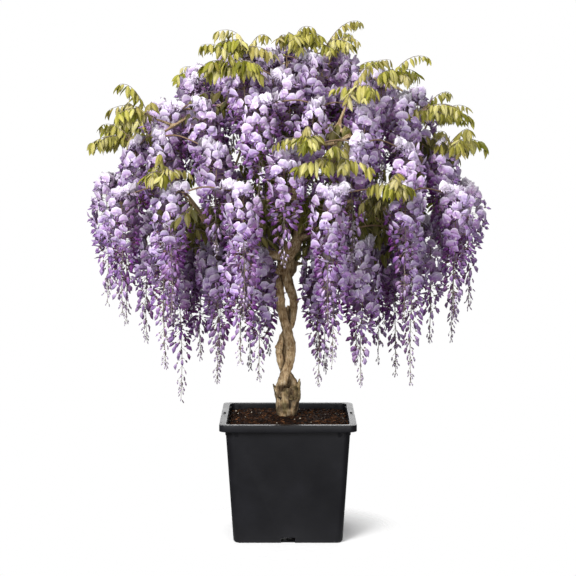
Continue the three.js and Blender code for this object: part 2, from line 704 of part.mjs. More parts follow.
/** A way to set a shoot near its wanted place, with the twig that reaches it. */
function seatShoot([azimuth, height, lean, count]) {
  const angle = degrees(azimuth);
  const radius = domeRadius(height);
  const room = roomNear(at(radius * Math.cos(angle), radius * Math.sin(angle), height), 170, true);
  const seats = [];
  for (const sunk of [6, 18, 30, 44]) {
    for (const swing of [-7, -4.5, -2, 0, 2, 4.5, 7]) {
      for (const lift of [-16, 0, 16, 32]) {
        const around = angle + degrees(swing) * Math.min(3, 300 / radius);
        const out = at(Math.cos(around), Math.sin(around), 0);
        const heading = out.clone().multiplyScalar(Math.cos(degrees(lean))).setZ(Math.sin(degrees(lean)));
        const place = out.clone().multiplyScalar(Math.max(12, radius - sunk)).setZ(height + lift);
        const end = place.clone().addScaledVector(heading, SHOOT_LENGTH);
        const stalk = between(place, end, 4);
        for (const turn of [-20, 0, 20]) {
          const leaves = leafHeadings(heading, count, turn).map((way) => leafPoints(end, way, LEAF_LENGTH));
          const cost = 20 * crowding(stalk, 7, room) + 6 * crowding(leaves.flat(), 4, room)
            + 20 * crowding([place], 11, room) + 1.5 * Math.abs(swing) + 0.4 * Math.abs(lift) + 0.3 * Math.abs(turn);
          seats.push({ place, cost, heading, end, turn, count });
        }
      }
    }
  }
  const best = chooseSeat(seats, ({ heading }) => [heading], 0.6);
  best.twig.heading = best.heading;
  rods.push({ line: new THREE.Line3(best.place, best.end), radius: STALK_RADIUS });
  for (const way of leafHeadings(best.heading, count, best.turn)) {
    const points = leafPoints(best.end, way, LEAF_LENGTH);
    rods.push({ line: new THREE.Line3(points[2], points.at(-1)), radius: 12 });
  }
  return best;
}

function makeShoot({ place, heading, end, turn, count }) {
  const start = place.clone().addScaledVector(heading, GAP);
  const tip = end.clone().addScaledVector(heading, 5);
  const stalk = loft(ringsAlong([start, end, tip], [STALK_RADIUS, STALK_RADIUS, STALK_RADIUS - 1], 4));
  const leaves = leafHeadings(heading, count, turn).map((way, i) => {
    const base = end.clone().addScaledVector(heading, 1.2 * i - 1);
    return makeLeaf(leafPoints(base, way, LEAF_LENGTH));
  });
  return fuse([stalk, ...leaves]);
}

const sprays = groupRacemes();
for (const spray of sprays) {
  spray.seat = seatSpray(spray);
}
const shoots = SHOOTS.map(seatShoot);
const twigs = [...sprays.map((spray) => spray.seat.twig), ...shoots.map((shoot) => shoot.twig)];

// ---- The whole plant in its pot ----

const plant = new THREE.Group();
plant.add(mesh("pot", makePot(), materials.plastic));
plant.add(mesh("soil", makeSoil(), materials.soil));
const trunk = fuse([
  ...makeStump(), twistedStem(0), twistedStem(180), branch(FORK, 8, 6).solid,
  ...wood.map(({ solid: body }) => body), ...SNAGS.map((knots) => branch(knots, 4, 2).solid),
  ...twigs.map(makeTwig),
]);
plant.add(mesh("trunk", trunk, materials.bark));
const numbered = (name, i) => `${name}_${String(i + 1).padStart(2, "0")}`;
sprays.forEach((spray, i) => plant.add(mesh(numbered("raceme_spray", i), makeSpray(spray), materials.petals)));
shoots.forEach((shoot, i) => plant.add(mesh(numbered("leafy_shoot", i), makeShoot(shoot), materials.leaf)));

export default plant;
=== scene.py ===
"""A wisteria grown as a small tree in a square nursery pot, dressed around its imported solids."""

import math

import bmesh
import bpy
import numpy as np
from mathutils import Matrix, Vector, noise
from mathutils.bvhtree import BVHTree


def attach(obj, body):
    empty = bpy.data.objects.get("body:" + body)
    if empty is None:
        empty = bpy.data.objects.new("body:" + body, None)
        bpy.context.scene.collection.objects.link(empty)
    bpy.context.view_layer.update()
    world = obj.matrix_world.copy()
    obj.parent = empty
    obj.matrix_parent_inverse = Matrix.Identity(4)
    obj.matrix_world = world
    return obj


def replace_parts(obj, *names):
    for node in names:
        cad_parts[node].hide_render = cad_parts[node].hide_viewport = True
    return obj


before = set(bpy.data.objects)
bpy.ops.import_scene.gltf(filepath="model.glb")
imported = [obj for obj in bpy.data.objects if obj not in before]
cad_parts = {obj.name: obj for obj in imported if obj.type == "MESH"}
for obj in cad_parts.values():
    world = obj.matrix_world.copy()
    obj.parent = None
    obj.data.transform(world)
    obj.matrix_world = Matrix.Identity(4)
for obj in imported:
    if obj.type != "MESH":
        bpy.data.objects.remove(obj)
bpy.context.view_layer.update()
scene = bpy.context.scene

# ---- Studio ----
# A small tree on a seamless white floor, with a long lens a little above the middle of the crown.
# Large soft lamps stand on both sides, so that the pot shows only faint sheens and the flowers only soft shade.

MM = 0.001
LENS, SENSOR_WIDTH = 108.4, 36
CAMERA_PLACE = (0, -3.6, 0.897)
CAMERA_PITCH = 6.05  # degrees downwards
LAMPS = {  # place, size and power in watts
    "key": ((-1.7, -3.0, 2.5), 1.5, 252),
    "fill": ((0.8, -3.4, 0.8), 2.0, 62),
    "top": ((0.2, 0.6, 3.7), 1.4, 64),
    "back": ((0.3, 3.4, 1.0), 2.2, 62),
}
LAMPS_AIM = (0, 0, 0.6)
AIR = 0.19  # how brightly the white room itself lights the object
FLOOR_HALF = 3000  # in millimetres
FLOOR_FADE = (0.11, 0.25)  # the floor melts into the white room between these distances, in metres


def colour(code):
    """An sRGB hex code as the linear colour that a socket takes."""
    shares = [int(code[i:i + 2], 16) / 255 for i in (1, 3, 5)]
    return (*(s / 12.92 if s <= 0.04045 else ((s + 0.055) / 1.055) ** 2.4 for s in shares), 1.0)


def set_inputs(tree, node, inputs):
    """Gives each input its value, or a link when that is another node or one of its outputs."""
    for key, value in inputs.items():
        if isinstance(value, bpy.types.Node):
            value = next(output for output in value.outputs if output.enabled)
        if isinstance(value, bpy.types.NodeSocket):
            tree.links.new(value, node.inputs[key])
        else:
            node.inputs[key].default_value = value


def add_node(tree, kind, inputs=None, stops=None, **settings):
    """Adds a node with its settings, its inputs, and the stops of its ramp or curve."""
    node = tree.nodes.new(kind)
    for name, value in settings.items():
        setattr(node, name, value)
    set_inputs(tree, node, inputs or {})
    if stops and hasattr(node, "color_ramp"):
        marks = node.color_ramp.elements
        while len(marks) < len(stops):
            marks.new(1)
        for mark, (place, code) in zip(marks, stops):
            mark.position, mark.color = place, colour(code)
    elif stops:
        line = node.mapping.curves[0]
        line.points[0].location, line.points[-1].location = stops[0], stops[-1]
        for place, height in stops[1:-1]:
            line.points.new(place, height)
        node.mapping.update()
    return node


def start_material(name, **sockets):
    """A material on the Principled shader with these fixed sockets. Returns it, its tree, its shader and the
    object's own coordinates."""
    made = bpy.data.materials.new(name)
    made.use_nodes = True
    tree = made.node_tree
    shader = tree.nodes["Principled BSDF"]
    for key, value in sockets.items():
        shader.inputs[key.replace("_", " ").title().replace("Ior", "IOR")].default_value = value
    return made, tree, shader, add_node(tree, "ShaderNodeTexCoord").outputs["Object"]


def add_object(name, data):
    """An object with this data, in the scene."""
    made = bpy.data.objects.new(name, data)
    scene.collection.objects.link(made)
    return made


def new_object(name, points, faces, edges=()):
    """A mesh object from points in millimetres."""
    mesh = bpy.data.meshes.new(name)
    mesh.from_pydata([Vector(p) * MM for p in points], edges, faces)
    return add_object(name, mesh)


def dress(piece, material):
    """Gives a piece one material and smooth shading."""
    piece.data.materials.clear()
    piece.data.materials.append(material)
    piece.data.shade_smooth()


camera = add_object("camera", bpy.data.cameras.new("camera"))
camera.data.lens = LENS
camera.data.sensor_width = SENSOR_WIDTH
camera.location = CAMERA_PLACE
camera.rotation_euler = (math.radians(90 - CAMERA_PITCH), 0, 0)
scene.camera = camera

for name, (place, size, power) in LAMPS.items():
    lamp = add_object(name, bpy.data.lights.new(name, "AREA"))
    lamp.data.size = size
    lamp.data.energy = power
    lamp.location = place
    lamp.rotation_euler = (Vector(LAMPS_AIM) - Vector(place)).to_track_quat("-Z", "Y").to_euler()

world = bpy.data.worlds.new("white_room")
world.use_nodes = True
tree = world.node_tree
seen = add_node(tree, "ShaderNodeLightPath").outputs["Is Camera Ray"]
brightness = add_node(tree, "ShaderNodeMapRange", {"Value": seen, "To Min": AIR, "To Max": 1.0})
set_inputs(tree, tree.nodes["Background"], {"Color": colour("#FFFFFF"), "Strength": brightness})
scene.world = world
scene.view_settings.view_transform = "Standard"

painted, tree, shader, coords = start_material("white_painted_board", roughness=0.9)
# Matt white paint, rolled on: very nearly even.
mottle = add_node(tree, "ShaderNodeTexNoise", {"Vector": coords, "Scale": 3.0, "Detail": 2.0})
paint = add_node(tree, "ShaderNodeValToRGB", {"Fac": mottle}, [(0.3, "#F6F6F6"), (0.7, "#FAFAFA")])
away = add_node(tree, "ShaderNodeVectorMath", {0: coords}, operation="LENGTH").outputs["Value"]
solidity = add_node(tree, "ShaderNodeMapRange", {
    "Value": away, "From Min": FLOOR_FADE[0], "From Max": FLOOR_FADE[1], "To Min": 1.0, "To Max": 0.0})
set_inputs(tree, shader, {"Base Color": paint, "Alpha": solidity})
corners = ((-1, -1), (1, -1), (1, 1), (-1, 1))
floor = new_object("floor", [(sx * FLOOR_HALF, sy * FLOOR_HALF, 0) for sx, sy in corners], [(0, 1, 2, 3)])
floor.data.materials.append(painted)

# ---- Pot ----
# A square nursery pot, injection moulded in one piece from charcoal polypropylene. The rim turns out into a
# flange with a skirt, two sides of it have a slot for a label, and each side has a drainage notch at the foot.

POT_WALL_PROFILE = [  # half the width, height and corner radius, from the middle of the foot up and back inside
    (109, 0, 12), (112.5, 3.5, 14), (127.2, 234, 15), (127.5, 247.4, 15), (137.5, 247.4, 14.5),
    (137.5, 236, 14.5), (140, 236, 16), (140, 250, 16), (126, 250, 13), (125.3, 246, 13),
    (110.5, 4, 12), (107.5, 2.2, 11),
]
POT_EDGE_ROUND = 1.0
POT_CORNER_STEPS = 8
DRAIN_NOTCH = (29, 12)
NOTCH_AT = (115, 10)  # its middle, measured from the pot's, and how far the cut reaches to each side
LABEL_SLOT = (5, 33)
SLOT_AT = (133, 247.9, 252)  # how far out, and from where to where the cut goes: a thin web is left under it
STACKING_LUG = (7, 2.2)  # its width and how far it stands out, beside each corner under the rim
LUG_FROM_MIDDLE = 105
LUG_FACE = (126, 123)  # where its face and its root lie
LUG_TOP, LUG_SHOULDER, LUG_FOOT = 246, 226, 223
CRISP_OVER = 38  # degrees between two faces of the pot, from where the edge between them stays crisp


def softened(profile, radius):
    """The profile with each inner point cut into three that round it."""
    soft = [profile[0]]
    for before, here, after in zip(profile, profile[1:], profile[2:]):
        before, here, after = (np.array(p, float) for p in (before, here, after))
        ends = []
        for other in (before, after):
            way = other - here
            length = math.hypot(way[0], way[1])
            ends.append(here + way * min(0.4, radius / length))
        soft += [ends[0], 0.25 * ends[0] + 0.5 * here + 0.25 * ends[1], ends[1]]
    return soft + [profile[-1]]


def square_ring(half, z, corner):
    """The points of a square with rounded corners, in millimetres."""
    ring = []
    for turn, (sx, sy) in enumerate(((1, 1), (-1, 1), (-1, -1), (1, -1))):
        for k in range(POT_CORNER_STEPS + 1):
            angle = math.radians(90 * (turn + k / POT_CORNER_STEPS))
            ring.append((sx * (half - corner) + corner * math.cos(angle),
                         sy * (half - corner) + corner * math.sin(angle), z))
    return ring


def loft(rings):
    """Points and faces of a skin through rings of equal length, closed at both ends."""
    count = len(rings[0])
    points = [p for ring in rings for p in ring]
    faces = []
    for r in range(len(rings) - 1):
        for j in range(count):
            k = (j + 1) % count
            faces.append((r * count + j, r * count + k, (r + 1) * count + k, (r + 1) * count + j))
    return points, [*faces, tuple(range(count))[::-1], tuple(range(len(points) - count, len(points)))]


def box_shape(low, high):
    """Points and faces of a box between two corners."""
    (x0, y0, z0), (x1, y1, z1) = low, high
    return loft([[(x0, y0, z), (x1, y0, z), (x1, y1, z), (x0, y1, z)] for z in (z0, z1)])


def join_shapes(shapes):
    """One list of points and faces from several."""
    points, faces = [], []
    for more, skins in shapes:
        faces += [tuple(i + len(points) for i in skin) for skin in skins]
        points += more
    return points, faces


moulded, tree, shader, coords = start_material(
    "moulded_polypropylene", ior=1.49, roughness=0.5, specular_ior_level=0.18)
# Moulded and spark-eroded: a dull charcoal with a fine even grain, rubbed a little paler in patches.
scuff = add_node(tree, "ShaderNodeTexNoise", {
    "Vector": coords, "Scale": 14.0, "Detail": 4.0, "Roughness": 0.62})
charcoal = add_node(tree, "ShaderNodeValToRGB", {"Fac": scuff}, [
    (0.3, "#0F0F12"), (0.55, "#131316"), (0.8, "#19191D")])
grain = add_node(tree, "ShaderNodeTexNoise", {"Vector": coords, "Scale": 900.0, "Detail": 2.0})
dull = add_node(tree, "ShaderNodeMapRange", {"Value": scuff, "To Min": 0.36, "To Max": 0.54})
pitted = add_node(tree, "ShaderNodeBump", {"Height": grain, "Strength": 0.25, "Distance": 0.0004})
set_inputs(tree, shader, {"Base Color": charcoal, "Roughness": dull, "Normal": pitted})

wall = softened(POT_WALL_PROFILE, POT_EDGE_ROUND)
pot = new_object("moulded_pot", *loft([square_ring(*row) for row in wall]))
cuts = []
for side in (-1, 1):
    half_notch = DRAIN_NOTCH[0] / 2
    near, far = side * NOTCH_AT[0] - NOTCH_AT[1], side * NOTCH_AT[0] + NOTCH_AT[1]
    cuts.append(box_shape((-half_notch, near, -1), (half_notch, far, DRAIN_NOTCH[1])))
    cuts.append(box_shape((near, -half_notch, -1), (far, half_notch, DRAIN_NOTCH[1])))
    cuts.append(box_shape((side * SLOT_AT[0] - LABEL_SLOT[0] / 2, -LABEL_SLOT[1] / 2, SLOT_AT[1]),
                          (side * SLOT_AT[0] + LABEL_SLOT[0] / 2, LABEL_SLOT[1] / 2, SLOT_AT[2])))
cutter = new_object("cutter", *join_shapes(cuts))
cut = pot.modifiers.new("cut", "BOOLEAN")
cut.object = cutter
cut.operation = "DIFFERENCE"
cut.solver = "EXACT"


def settle(piece):
    """Leaves a plain mesh where the piece had modifiers."""
    depsgraph = bpy.context.evaluated_depsgraph_get()
    mesh = bpy.data.meshes.new_from_object(
        piece.evaluated_get(depsgraph), preserve_all_data_layers=True, depsgraph=depsgraph)
    piece.modifiers.clear()
    piece.data = mesh
    return piece


settle(pot)
bpy.data.objects.remove(cutter)
lug_width, lug_depth = STACKING_LUG
lugs = []
for turn in range(4):  # two on each side of the pot
    for side in (-1, 1):
        along = side * LUG_FROM_MIDDLE
        shape = loft([
            [(along - w, -LUG_FACE[0] - lug_depth * d, z), (along + w, -LUG_FACE[0] - lug_depth * d, z),
             (along + w, -LUG_FACE[1], z), (along - w, -LUG_FACE[1], z)]
            for z, w, d in ((LUG_TOP, lug_width / 2, 1), (LUG_SHOULDER, lug_width / 2, 1),
                            (LUG_FOOT, lug_width / 2 - 1, 0))][::-1])
        angle = math.radians(90 * turn)
        turned = [(x * math.cos(angle) - y * math.sin(angle), x * math.sin(angle) + y * math.cos(angle), z)
                  for x, y, z in shape[0]]
        lugs.append((turned, shape[1]))
lug_piece = new_object("stacking_lugs", *join_shapes(lugs))
for piece in (pot, lug_piece):
    dress(piece, moulded)
    piece.data.set_sharp_from_angle(angle=math.radians(CRISP_OVER))
    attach(piece, "root")
    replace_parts(piece, "pot")

# ---- Compost ----
# Dark bark compost that fills the pot to a finger's width under the rim and mounds against the stump. Shredded
# and chipped bark lies loose on it, with white grains of perlite between.

COMPOST_EDGE = 238
COMPOST_MOUND = 9
COMPOST_SHRUNK = 2.5  # how far it has sunk along the pot's wall
COMPOST_HALF = 124.2  # half its width where it meets the wall
COMPOST_FOOT = (0.985, 206)  # the bed's foot in the pot: its width as a share of the top's, and its height
COMPOST_RINGS, COMPOST_SPOKES = 30, 132
CLODS = ((2.6, 16, 3.1), (1.4, 6, 8.4))  # height, width, and which layer of the noise they are


def compost_height(x, y, share):
    """How high the compost lies, in millimetres, at a place this share of the way to the wall."""
    clods = sum(tall * noise.noise((x / wide, y / wide, layer)) for tall, wide, layer in CLODS)
    return COMPOST_EDGE + COMPOST_MOUND * (1 - share * share) + clods - COMPOST_SHRUNK * share ** 6


top = []
for r in range(1, COMPOST_RINGS + 1):
    share = r / COMPOST_RINGS
    squareness = 2 + 20 * share  # a ring is round at the stump and square at the wall
    ring = []
    for j in range(COMPOST_SPOKES):
        angle = 2 * math.pi * j / COMPOST_SPOKES
        reach = COMPOST_HALF * share / (
            abs(math.cos(angle)) ** squareness + abs(math.sin(angle)) ** squareness) ** (1 / squareness)
        x, y = reach * math.cos(angle), reach * math.sin(angle)
        ring.append((x, y, compost_height(x, y, share)))
    top.append(ring)
foot = [(COMPOST_FOOT[0] * x, COMPOST_FOOT[0] * y, COMPOST_FOOT[1]) for x, y, _ in top[-1]]
points, faces = loft(top + [foot])
compost = new_object("bark_compost", points, [skin[::-1] for skin in faces])

bark_bed, tree, shader, coords = start_material("composted_bark", roughness=0.95, specular_ior_level=0.1)
# Half rotted and damp: nearly black in the hollows, red brown where the fibres show.
clods = add_node(tree, "ShaderNodeTexNoise", {
    "Vector": coords, "Scale": 120.0, "Detail": 6.0, "Roughness": 0.7})
earth = add_node(tree, "ShaderNodeValToRGB", {"Fac": clods}, [
    (0.35, "#0D0705"), (0.52, "#1B0F09"), (0.66, "#2F1A0F"), (0.8, "#422717")])
crumb = add_node(tree, "ShaderNodeBump", {"Height": clods, "Strength": 0.9, "Distance": 0.003})
set_inputs(tree, shader, {"Base Color": earth, "Normal": crumb})

chipped_bark, tree, shader, coords = start_material("chipped_pine_bark", roughness=0.9, specular_ior_level=0.12)
# Broken chips: each has its own brown, from black to a dry tan.
tone = add_node(tree, "ShaderNodeAttribute", attribute_name="tone").outputs["Fac"]
chip_brown = add_node(tree, "ShaderNodeValToRGB", {"Fac": tone}, [
    (0.0, "#0E0806"), (0.35, "#1D110A"), (0.6, "#2B180C"), (0.85, "#3F2614"), (1.0, "#5E3D24")])
fibre = add_node(tree, "ShaderNodeTexNoise", {"Vector": coords, "Scale": 700.0, "Detail": 4.0})
rough_skin = add_node(tree, "ShaderNodeBump", {"Height": fibre, "Strength": 0.6, "Distance": 0.001})
set_inputs(tree, shader, {"Base Color": chip_brown, "Normal": rough_skin})

expanded_rock, tree, shader, coords = start_material("expanded_perlite", roughness=0.8)
# Popped volcanic glass: chalky white grains, dusted with compost.
dust = add_node(tree, "ShaderNodeTexNoise", {"Vector": coords, "Scale": 260.0, "Detail": 3.0})
chalk = add_node(tree, "ShaderNodeValToRGB", {"Fac": dust}, [(0.35, "#857765"), (0.6, "#C6BDAC")])
set_inputs(tree, shader, {"Base Color": chalk})


def start_growth(name, inputs):
    """A Geometry Nodes tree with these named inputs. Returns it, its input node and each input's identifier."""
    made = bpy.data.node_groups.new(name, "GeometryNodeTree")
    made.interface.new_socket("Geometry", in_out="OUTPUT", socket_type="NodeSocketGeometry")
    made.interface.new_socket("Geometry", in_out="INPUT", socket_type="NodeSocketGeometry")
    known = {label: made.interface.new_socket(label, in_out="INPUT", socket_type="NodeSocket" + kind).identifier
             for label, kind in inputs.items()}
    return made, made.nodes.new("NodeGroupInput"), known


def grow(piece, made, known, values):
    """Runs a tree on a piece with its inputs set, and leaves the result as a plain mesh."""
    modifier = piece.modifiers.new(made.name, "NODES")
    modifier.node_group = made
    for label, value in values.items():
        modifier[known[label]] = value
    return settle(piece)


def finish_growth(made, grown, finish, stalk=None, smooth=True):
    """Ends a tree: what has grown is made real and gets its material, and its stalks get theirs."""
    grown = add_node(made, "GeometryNodeRealizeInstances", {"Geometry": grown})
    if smooth:
        grown = add_node(made, "GeometryNodeSetShadeSmooth", {"Geometry": grown})
    grown = add_node(made, "GeometryNodeSetMaterial", {"Geometry": grown, "Material": finish})
    if stalk:
        part = add_node(made, "GeometryNodeInputNamedAttribute", {"Name": "part"})
        is_stalk = add_node(made, "FunctionNodeCompare", {0: part, 1: 0.5}, operation="LESS_THAN")
        grown = add_node(made, "GeometryNodeSetMaterial", {
            "Geometry": grown, "Selection": is_stalk, "Material": stalk})
    add_node(made, "NodeGroupOutput", {0: grown})


strewn, given, strewn_inputs = start_growth("strewn_on_compost", {
    "Number per square metre": "Float", "Grain": "Object", "Smallest": "Float", "Largest": "Float",
    "Tilt": "Float", "Seed": "Int", "Finish": "Material"})
normal = add_node(strewn, "GeometryNodeInputNormal")
upward = add_node(strewn, "ShaderNodeSeparateXYZ", {0: normal}).outputs["Z"]
is_top = add_node(strewn, "FunctionNodeCompare", {0: upward, 1: 0.5}, operation="GREATER_THAN")
spots = add_node(strewn, "GeometryNodeDistributePointsOnFaces", {
    "Mesh": given.outputs["Geometry"], "Selection": is_top,
    "Density": given.outputs["Number per square metre"], "Seed": given.outputs["Seed"]})
drawn = {name: add_node(strewn, "FunctionNodeRandomValue", {2: low, 3: high, "Seed": seed})
         for seed, (name, low, high) in enumerate((
             ("tone", 0.0, 1.0), ("lean", -1.0, 1.0), ("tip", -1.0, 1.0), ("turn", 0.0, 2 * math.pi),
             ("size", 0.0, 1.0)), 5)}
toned = add_node(strewn, "GeometryNodeStoreNamedAttribute", {
    "Geometry": spots.outputs["Points"], "Name": "tone", "Value": drawn["tone"]})
tilt = given.outputs["Tilt"]
lean, tip = (add_node(strewn, "ShaderNodeMath", {0: drawn[name], 1: tilt}, operation="MULTIPLY")
             for name in ("lean", "tip"))
leaning = add_node(strewn, "ShaderNodeCombineXYZ", {"X": lean, "Y": tip, "Z": drawn["turn"]})
grain_size = add_node(strewn, "ShaderNodeMapRange", {
    "Value": drawn["size"], "To Min": given.outputs["Smallest"], "To Max": given.outputs["Largest"]})
source = add_node(strewn, "GeometryNodeObjectInfo", {"Object": given.outputs["Grain"]}).outputs["Geometry"]
laid = add_node(strewn, "GeometryNodeInstanceOnPoints", {
    "Points": toned, "Instance": source, "Rotation": leaning, "Scale": grain_size})
finish_growth(strewn, laid, given.outputs["Finish"], smooth=False)


def rough_grain(name, length, width, height, sides, seed):
    """A broken lump lying along X, in millimetres."""
    draw = np.random.default_rng(seed)
    rings = []
    for share, girth in ((-0.5, 0.45), (-0.2, 1), (0.2, 0.95), (0.5, 0.4)):
        rings.append([((share + draw.uniform(-0.06, 0.06)) * length,
                       girth * width / 2 * draw.uniform(0.75, 1.2) * math.cos(2 * math.pi * j / sides + 0.4),
                       girth * height / 2 * draw.uniform(0.7, 1.25) * math.sin(2 * math.pi * j / sides + 0.4))
                      for j in range(sides)])
    return new_object(name, *loft(rings))


GRAINS = [  # piece, number per square metre, size range, tilt, finish, and the shape of one grain
    ("long_bark_chips", 8500, (0.45, 1.1), 0.5, chipped_bark, (12, 4.6, 2.4, 4, 1)),
    ("broken_bark_chips", 14000, (0.5, 1.3), 0.7, chipped_bark, (7, 5, 3.2, 4, 2)),
    ("bark_shreds", 8000, (0.6, 1.3), 0.35, chipped_bark, (15, 1.8, 1.4, 3, 3)),
    ("perlite_grains", 1000, (0.45, 1.25), 1.0, expanded_rock, (3.2, 2.9, 2.6, 5, 4)),
]
GRAIN_SEED = 40
bare_top = compost.data.copy()
for seed, (name, number, (smallest, largest), tilt, finish, shape) in enumerate(GRAINS, GRAIN_SEED):
    grain = rough_grain("grain", *shape)
    piece = grow(add_object(name, bare_top.copy()), strewn, strewn_inputs, {
        "Number per square metre": number, "Grain": grain, "Smallest": smallest, "Largest": largest,
        "Tilt": tilt, "Seed": seed, "Finish": finish})
    bpy.data.objects.remove(grain)
    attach(piece, "root")
    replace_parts(piece, "soil")
dress(compost, bark_bed)
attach(compost, "root")
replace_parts(compost, "soil")

# ---- Trunk ----
# Two old stems wound round each other, rising from a cut stump with splintered edges and knitting into one
# knot, from where the limbs leave. It is living wood under thin, furrowed, tan bark. Up in the crown, painted
# shade darkens it.

TRUNK_X = -2
STEMS = [  # knots as x, y, height and radius: two stems that cross twice, the first in front, and wood between
    [(-10, 4, 560, 10), (-15, 5, 541, 9.2), (-18, 4, 520, 9.2), (-17, 0, 491, 9), (-11, -5, 457, 8.8),
     (-3.5, -8, 431, 9.2), (3, -8, 408, 10), (5, -6, 386, 10.4), (3.5, -7, 363, 9.8), (-3, -10, 342, 10),
     (-10.5, -13, 322, 10.5), (-17, -16, 303, 9.5), (-19, -16, 289, 6)],
    [(-6, -8, 566, 9), (-4, -9, 546, 10), (1, -8, 525, 9.6), (8, -5, 506, 9), (12, -1, 486, 8.2),
     (10.5, 3, 460, 8), (4, 6, 437, 8), (-5, 7, 419, 8), (-14, 5, 402, 7.6), (-18.5, 2, 386, 7.2),
     (-17, 2, 366, 7.6), (-10, 5, 346, 8.2), (0, 8, 330, 9), (9, 7, 314, 10), (12, 5, 296, 11)],
    [(1, 6, 478, 3), (0, 5, 468, 6.5), (-1, 5, 450, 7), (-4, 8, 425, 6.5), (-7, 9, 400, 6.5), (-8, 9, 375, 6.5),
     (-5, 7, 350, 6)],
]
WOOD = {  # the same for what the stems carry
    "knot": [(-5, 0, 536, 9), (-3, -1, 548, 16), (-1, -1, 562, 19.5), (1, -2, 576, 20.5), (5, -1, 592, 17),
             (10, 2, 610, 11)],
    "leader": [(2, 0, 565, 13), (8, 3, 592, 12.5), (19, 6, 617, 11.5), (22, 8, 648, 10), (12, 5, 710, 8.2),
               (2, 2, 790, 6.7), (-2, 0, 880, 5.2), (0, 0, 985, 4)],
    "left_limb": [(6, -6, 572, 9), (-16, -12, 582, 9.5), (-45, -8, 589, 8.4), (-80, -10, 600, 7.8),
                  (-140, -16, 634, 6.7), (-205, -14, 676, 4.6)],
    "low_left_limb": [(2, -8, 548, 7), (-22, -14, 552, 6), (-46, -22, 566, 5), (-78, -40, 590, 4.5),
                      (-112, -88, 632, 4.2), (-150, -140, 672, 3.7)],
    "crossing_limb": [(-16, -8, 556, 6), (-6, -18, 570, 8.5), (12, -15, 584, 8.5), (19, -6, 602, 8),
                      (20, 2, 618, 7)],
    "right_limb": [(18, 5, 615, 8), (66, 2, 636, 7.1), (132, -6, 660, 6.1), (205, -14, 684, 4.6)],
    "front_right_limb": [(21, 7, 634, 7), (56, -50, 655, 6.1), (92, -118, 676, 5.1), (124, -170, 694, 4.1)],
    "back_right_limb": [(19, 9, 640, 7), (62, 62, 660, 6.1), (108, 122, 678, 5.1), (146, 160, 692, 4.1)],
    "back_left_limb": [(3, 5, 598, 8), (-42, 56, 630, 6.6), (-92, 118, 664, 5.1), (-128, 162, 686, 4.1)],
    "back_limb": [(16, 10, 660, 6), (12, 76, 680, 5.6), (4, 140, 696, 5.1), (0, 200, 706, 4.1)],
    "front_limb": [(15, 2, 690, 6), (2, -70, 700, 5.1), (-20, -140, 706, 4.6), (-40, -196, 712, 4.1)],
    "upper_snag": [(14, -6, 566, 5), (25, -8, 567, 3.2), (35, -9, 565, 1)],
    "middle_snag": [(9, 0, 488, 7), (18, -1, 488, 5), (22.5, -1, 489, 2)],
    "lower_snag": [(-12, 0, 391, 7), (-22, -1, 391, 5), (-27, -1, 392, 2)],
}
SHARDS = [  # the same for the stump's splinters
    [(-19, -6, 288, 7), (-25, -7, 301, 4.5), (-31.5, -8, 314, 1)],
    [(17, -5, 286, 9), (21, -5, 306, 6), (24.5, -4, 325, 1.2)],
    [(4, 18, 288, 8), (6, 20, 304, 5), (7, 21, 317, 1.2)],
    [(8, -16, 284, 8), (9, -17, 296, 5.5), (10, -16, 305, 2)],
]
SHARD_CUT = 0.55  # how much of a splinter's bark is gone
STEPS_PER_KNOT, SHARD_STEPS = 9, 6
BARK_SIDES = 26
UNIT = 1000  # a source that is this long or wide, in millimetres, takes its scale in metres
CREASE_WITHIN, CREASE_FADE = 1.6, 0.45  # painted shade on a stem this near the other stem's axis, fading out over the second, in its own radii
TWIGS_FROM = 590  # all the wood below this height is thick
TWIG_APART = (1.12, 1.2)  # a twig begins so many of a thick path's radii from it, and so many millimetres
STUMP_PROFILE = [  # height and radius
    (200, 19), (222, 19.5), (238, 19), (250, 19), (262, 20.4), (276, 22.4), (288, 24.4), (300, 25.6), (307, 22),
    (303, 14)]
STUMP_FORMS = [  # how far each swells or sinks, as a share of the radius, degrees round, height, and reach
    (-0.34, 290, 276, 11, 22), (-0.5, 226, 291, 13, 9), (0.24, 306, 296, 20, 13), (0.16, 258, 268, 16, 14),
    (0.2, 190, 262, 20, 16), (0.15, 20, 280, 24, 18), (-0.25, 95, 285, 14, 18), (0.18, 130, 262, 22, 16)]
STUMP_SIDES, STUMP_STEPS = 56, 5
STUMP_RIM = (285, 15)  # where it begins, and over how much height it takes hold


def graded(tree, factors):
    """The product of factors. Each follows a value, over a range, from how much to how much."""
    product = 1.0
    for value, low, high, start, end in factors:
        factor = add_node(tree, "ShaderNodeMapRange", {
            "Value": value, "From Min": low, "From Max": high, "To Min": start, "To Max": end})
        product = add_node(tree, "ShaderNodeMath", {0: product, 1: factor}, operation="MULTIPLY")
    return product


wood_bark, tree, shader, coords = start_material("wisteria_bark", roughness=0.82, specular_ior_level=0.25)
